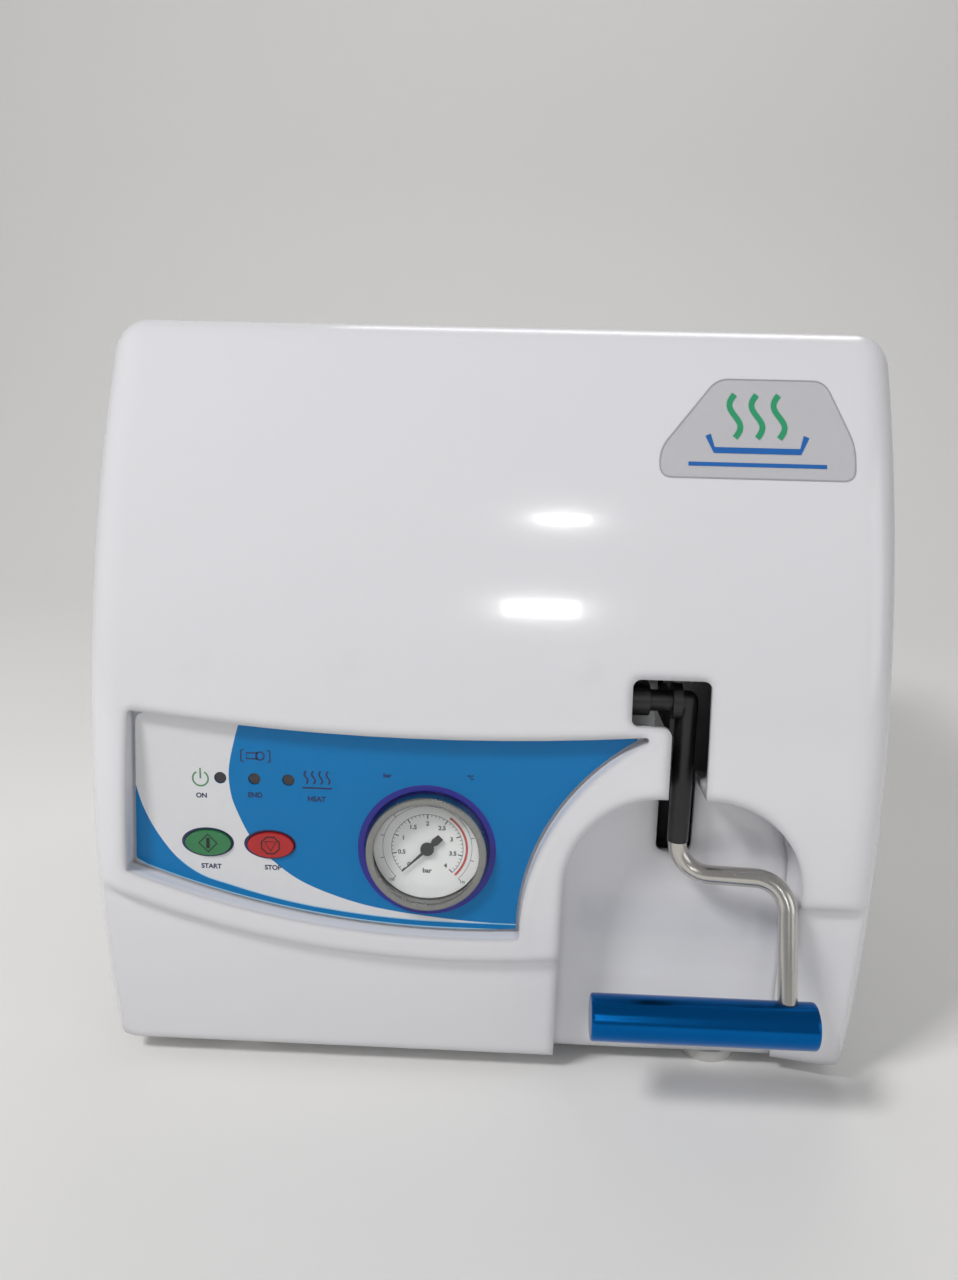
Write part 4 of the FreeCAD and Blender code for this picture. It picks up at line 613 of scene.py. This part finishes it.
drawn("steam_mark", steam_waves + [([(-76, 137.4), (-63.4, 137.4)], 0.75, False)], text_y, navy, "door")
for words, x, z, size in (("ON", -119.3, 132.2, 3.0), ("END", -96.3, 133.2, 3.1), ("HEAT", -70, 132.4, 3.1),
                          ("START", -116.2, 99.8, 3.0), ("STOP", -89.4, 100.2, 3.0)):
    lettering("label_" + words.lower(), words, size * MM, (x * MM, text_y, z * MM), -1, navy, "door")
lettering("label_bar", "bar", 2.6 * MM, (-0.0400, text_y, 0.1442), -1, navy, "door")
lettering("label_celsius", "\u00b0C", 2.6 * MM, (-0.0050, text_y, 0.1446), -1, navy, "door")

# Buttons: two domed oval keys, green and red, each with its printed sign in black.
dress(moulded("start_green", (0.035, 0.20, 0.075), 0.34, mottle=0.12, patches=120), "start_button")
dress(moulded("stop_red", (0.45, 0.016, 0.018), 0.34, mottle=0.12, patches=120), "stop_button")
sign_black = moulded("sign_black", (0.012, 0.012, 0.014), 0.4, mottle=0.1, patches=120)
start_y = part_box("start_button")[0][1] - INK_GAP
stop_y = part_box("stop_button")[0][1] - INK_GAP
drawn("start_sign", [([(-120.9, 111), (-117, 115), (-113.1, 111), (-117, 107)], 0.65, True),
                     ([(-117, 108.6), (-117, 113.4)], 1.5, False)], start_y, sign_black, "start_button")
octagon = arc(-90, 111, 4.1, 22.5, 337.5, 7)
drawn("stop_sign", [(octagon, 0.65, True), ([(-92.5, 112.7), (-87.5, 112.7), (-90, 108.4)], 0.65, True)],
      stop_y, sign_black, "stop_button")

# Gauge: a 50 mm pressure gauge. Pressed steel case, turned bezel, flat glass, white enamelled dial
# with a black pressure scale, a grey outer scale and a red arc, and a black balanced pointer.
dress(metal("gauge_case_steel", (0.35, 0.35, 0.35), 0.4, ALONG_Y), "gauge_case")
dress(metal("bezel_steel", (0.30, 0.30, 0.29), 0.24, (500, 40, 500), contrast=0.25, edge=0.0016), "gauge_bezel")
dress(moulded("dial_enamel", (0.76, 0.76, 0.75), 0.4, mottle=0.06, patches=80), "gauge_dial")
dress(moulded("pointer_black", (0.010, 0.010, 0.011), 0.38, mottle=0.2, patches=200), "gauge_needle")
dial_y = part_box("gauge_dial")[0][1] - INK_GAP
gx, gz = -23.0, 111.0
POINTER_THICK, HUB_THICK = 0.45 * MM, 1.0 * MM
needle_low, needle_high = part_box("gauge_needle")
pointer_top = needle_low[1] + 0.2 * MM
tip_way = Vector((cos(radians(225)), sin(radians(225))))
side_way = Vector((-tip_way[1], tip_way[0]))
pointer_shape = [(15.2, 0.12), (3, 0.62), (0, 0.8), (-3.2, 1.0), (-4.6, 1.7), (-8, 1.5)]
pointer_outline = [(gx + a * tip_way[0] + b * side_way[0], gz + a * tip_way[1] + b * side_way[1])
                   for a, b in pointer_shape]
pointer_outline += [(gx + a * tip_way[0] - b * side_way[0], gz + a * tip_way[1] - b * side_way[1])
                    for a, b in pointer_shape[::-1]]


def raised_plate(work, outline, y, thick):
    """Adds a flat plate with the given outline, in metres, to a bmesh; y is its front."""
    front = [work.verts.new((x, y, z)) for x, z in outline]
    back = [work.verts.new((x, y + thick, z)) for x, z in outline]
    work.faces.new(front)
    work.faces.new(back[::-1])
    for k in range(len(front)):
        follow = (k + 1) % len(front)
        work.faces.new((front[follow], front[k], back[k], back[follow]))


pointer_work = bmesh.new()
raised_plate(pointer_work, in_mm(pointer_outline), pointer_top, POINTER_THICK)
raised_plate(pointer_work, ellipse(gx * MM, gz * MM, 2.9 * MM, 2.9 * MM, 40), pointer_top - 0.2 * MM, HUB_THICK)
raised_plate(pointer_work, ellipse(gx * MM, gz * MM, 1.0 * MM, 1.0 * MM, 24), pointer_top, needle_high[1] - pointer_top)
bmesh.ops.recalc_face_normals(pointer_work, faces=pointer_work.faces)
pointer_mesh = bpy.data.meshes.new("gauge_pointer")
pointer_work.to_mesh(pointer_mesh)
pointer_work.free()
pointer = printed("gauge_pointer", pointer_mesh, nodes["gauge_needle"].data.materials[0], "gauge_needle")
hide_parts("gauge_needle")
scale_black = moulded("scale_black", (0.015, 0.015, 0.017), 0.4, mottle=0.1, patches=200)
scale_grey = moulded("scale_grey", (0.16, 0.17, 0.18), 0.4, mottle=0.1, patches=200)
scale_red = moulded("scale_red", (0.50, 0.05, 0.04), 0.4, mottle=0.1, patches=200)
ZERO, SWEEP, MARKS = 225, 270, 40


def on_dial(part, radius):
    """A point of the scale: part runs from 0 at its zero to 1 at its end, clockwise."""
    t = radians(ZERO - SWEEP * part)
    return (gx + radius * cos(t), gz + radius * sin(t))


ticks = [(arc(gx, gz, 15.4, ZERO, ZERO - SWEEP, 60), 0.22, False)]
for mark in range(MARKS + 1):
    long = mark % 5 == 0
    ticks.append(([on_dial(mark / MARKS, 13.4 if long else 14.4), on_dial(mark / MARKS, 15.5)],
                  0.5 if long else 0.24, False))
drawn("pressure_scale", ticks, dial_y, scale_black, "door")
outer = [(arc(gx, gz, 19.2, ZERO, ZERO - SWEEP, 60), 0.22, False)]
outer += [([on_dial(mark / 9, 19.2), on_dial(mark / 9, 20.8)], 0.4, False) for mark in range(10)]
drawn("temperature_scale", outer, dial_y, scale_grey, "door")
drawn("red_arc", [(arc(gx, gz, 17.0, 56, -45), 1.0, False)], dial_y, scale_red, "door")
for mark in range(9):
    x, z = on_dial(mark / 8, 11.2)
    value = f"{mark / 2:.1f}".replace(".0", "")
    lettering(f"dial_{mark}", value, 2.7 * MM, (x * MM, dial_y, z * MM), -1, scale_black, "door")
for mark in range(0, 10, 3):
    x, z = on_dial(mark / 9, 21.6)
    lettering(f"dial_outer_{mark}", str(100 + 5 * mark), 1.6 * MM, (x * MM, dial_y, z * MM), -1, scale_grey, "door")
lettering("dial_unit", "bar", 3.0 * MM, (gx * MM, dial_y, 0.1005), -1, scale_black, "door")

lens_glass = bpy.data.materials.new("lens_glass")
lens_glass.use_nodes = True
lens_tree = lens_glass.node_tree
lens_shader = lens_tree.nodes["Principled BSDF"]
lens_shader.inputs["Base Color"].default_value = (0.97, 0.98, 0.98, 1)
lens_shader.inputs["Transmission Weight"].default_value = 1
lens_shader.inputs["IOR"].default_value = 1.45
smears = lens_tree.nodes.new("ShaderNodeTexNoise")
smears.inputs["Scale"].default_value = 60
smear_gloss = lens_tree.nodes.new("ShaderNodeMapRange")
smear_gloss.inputs["To Min"].default_value = 0.0
smear_gloss.inputs["To Max"].default_value = 0.06
lens_tree.links.new(smears.outputs["Fac"], smear_gloss.inputs["Value"])
lens_tree.links.new(smear_gloss.outputs["Result"], lens_shader.inputs["Roughness"])
clear = lens_tree.nodes.new("ShaderNodeBsdfTransparent")
rays = lens_tree.nodes.new("ShaderNodeLightPath")
lets_light = lens_tree.nodes.new("ShaderNodeMixShader")
lens_tree.links.new(rays.outputs["Is Shadow Ray"], lets_light.inputs["Fac"])
lens_tree.links.new(lens_shader.outputs["BSDF"], lets_light.inputs[1])
lens_tree.links.new(clear.outputs["BSDF"], lets_light.inputs[2])
lens_tree.links.new(lets_light.outputs["Shader"], lens_tree.nodes["Material Output"].inputs["Surface"])
dress(lens_glass, "gauge_lens")

# Badge: a clear contour-cut vinyl sticker on the cover's upper right corner, with a plain sign of
# steam over a tray in green and blue instead of any name.
FACE_RADIUS, BELLY_Z, BELLY_Y = 430 * MM, 115 * MM, -190 * MM


def laid_on_cover(mesh, lift):
    """Cuts a flat mesh into bands and wraps it onto the cover's curved face."""
    work = bmesh.new()
    work.from_mesh(mesh)
    low = min(v.co.z for v in work.verts)
    high = max(v.co.z for v in work.verts)
    band = 2.5 * MM
    for k in range(1, int((high - low) / band) + 1):
        everything = work.verts[:] + work.edges[:] + work.faces[:]
        bmesh.ops.bisect_plane(work, geom=everything, plane_co=(0, 0, low + k * band), plane_no=(0, 0, 1))
    for v in work.verts:
        drop = FACE_RADIUS - sqrt(FACE_RADIUS ** 2 - (v.co.z - BELLY_Z) ** 2)
        v.co.y = BELLY_Y + drop - lift
    work.to_mesh(mesh)
    work.free()


def rounded_outline(corners, radius, steps=8):
    """Closed outline through the corners, in millimetres, each rounded by the radius."""
    out = []
    count = len(corners)
    for k, corner in enumerate(corners):
        here = Vector(corner)
        back = (Vector(corners[k - 1]) - here).normalized()
        ahead = (Vector(corners[(k + 1) % count]) - here).normalized()
        for step in range(steps + 1):
            t = step / steps
            start, end = here + back * radius, here + ahead * radius
            out.append(tuple((1 - t) ** 2 * start + 2 * t * (1 - t) * here + t ** 2 * end))
    return out


vinyl = moulded("clear_vinyl", (0.60, 0.60, 0.62), 0.12, mottle=0.05, patches=80, Alpha=0.45, Coat_Weight=0.5)
vinyl_edge = moulded("vinyl_edge", (0.36, 0.36, 0.38), 0.25, mottle=0.1, patches=80)
sticker = rounded_outline([(68.5, 270), (147.5, 270), (147.5, 284), (136, 309.5), (92, 309.5), (68.5, 281)], 5)
badge = printed_field("badge_vinyl", -0.2, [in_mm(sticker)], lambda owners: 0 if 0 in owners else None, [vinyl], "door")
laid_on_cover(badge.data, 0.15 * MM)
rim = drawn("badge_rim", [(sticker, 0.5, True)], -0.2, vinyl_edge, "door")
laid_on_cover(rim.data, 0.19 * MM)
badge_green = moulded("badge_green", (0.03, 0.33, 0.15), 0.35, mottle=0.06, patches=120)
badge_blue = moulded("badge_blue", (0.014, 0.13, 0.44), 0.35, mottle=0.06, patches=120)
badge_waves = []
for k in range(3):
    x = 99 + 9 * k
    badge_waves.append(([(x + 2.2 * sin(t * pi / 6), 286 + 1.45 * t) for t in range(13)], 2.4, False))
waves = drawn("badge_waves", badge_waves, -0.2, badge_green, "door")
laid_on_cover(waves.data, 0.2 * MM)
tray = drawn("badge_tray", [([(88, 287), (90.5, 281), (125.5, 281), (128, 287)], 2.4, False),
                            ([(80, 275.4), (136, 275.4)], 1.6, False)], -0.2, badge_blue, "door")
laid_on_cover(tray.data, 0.2 * MM)
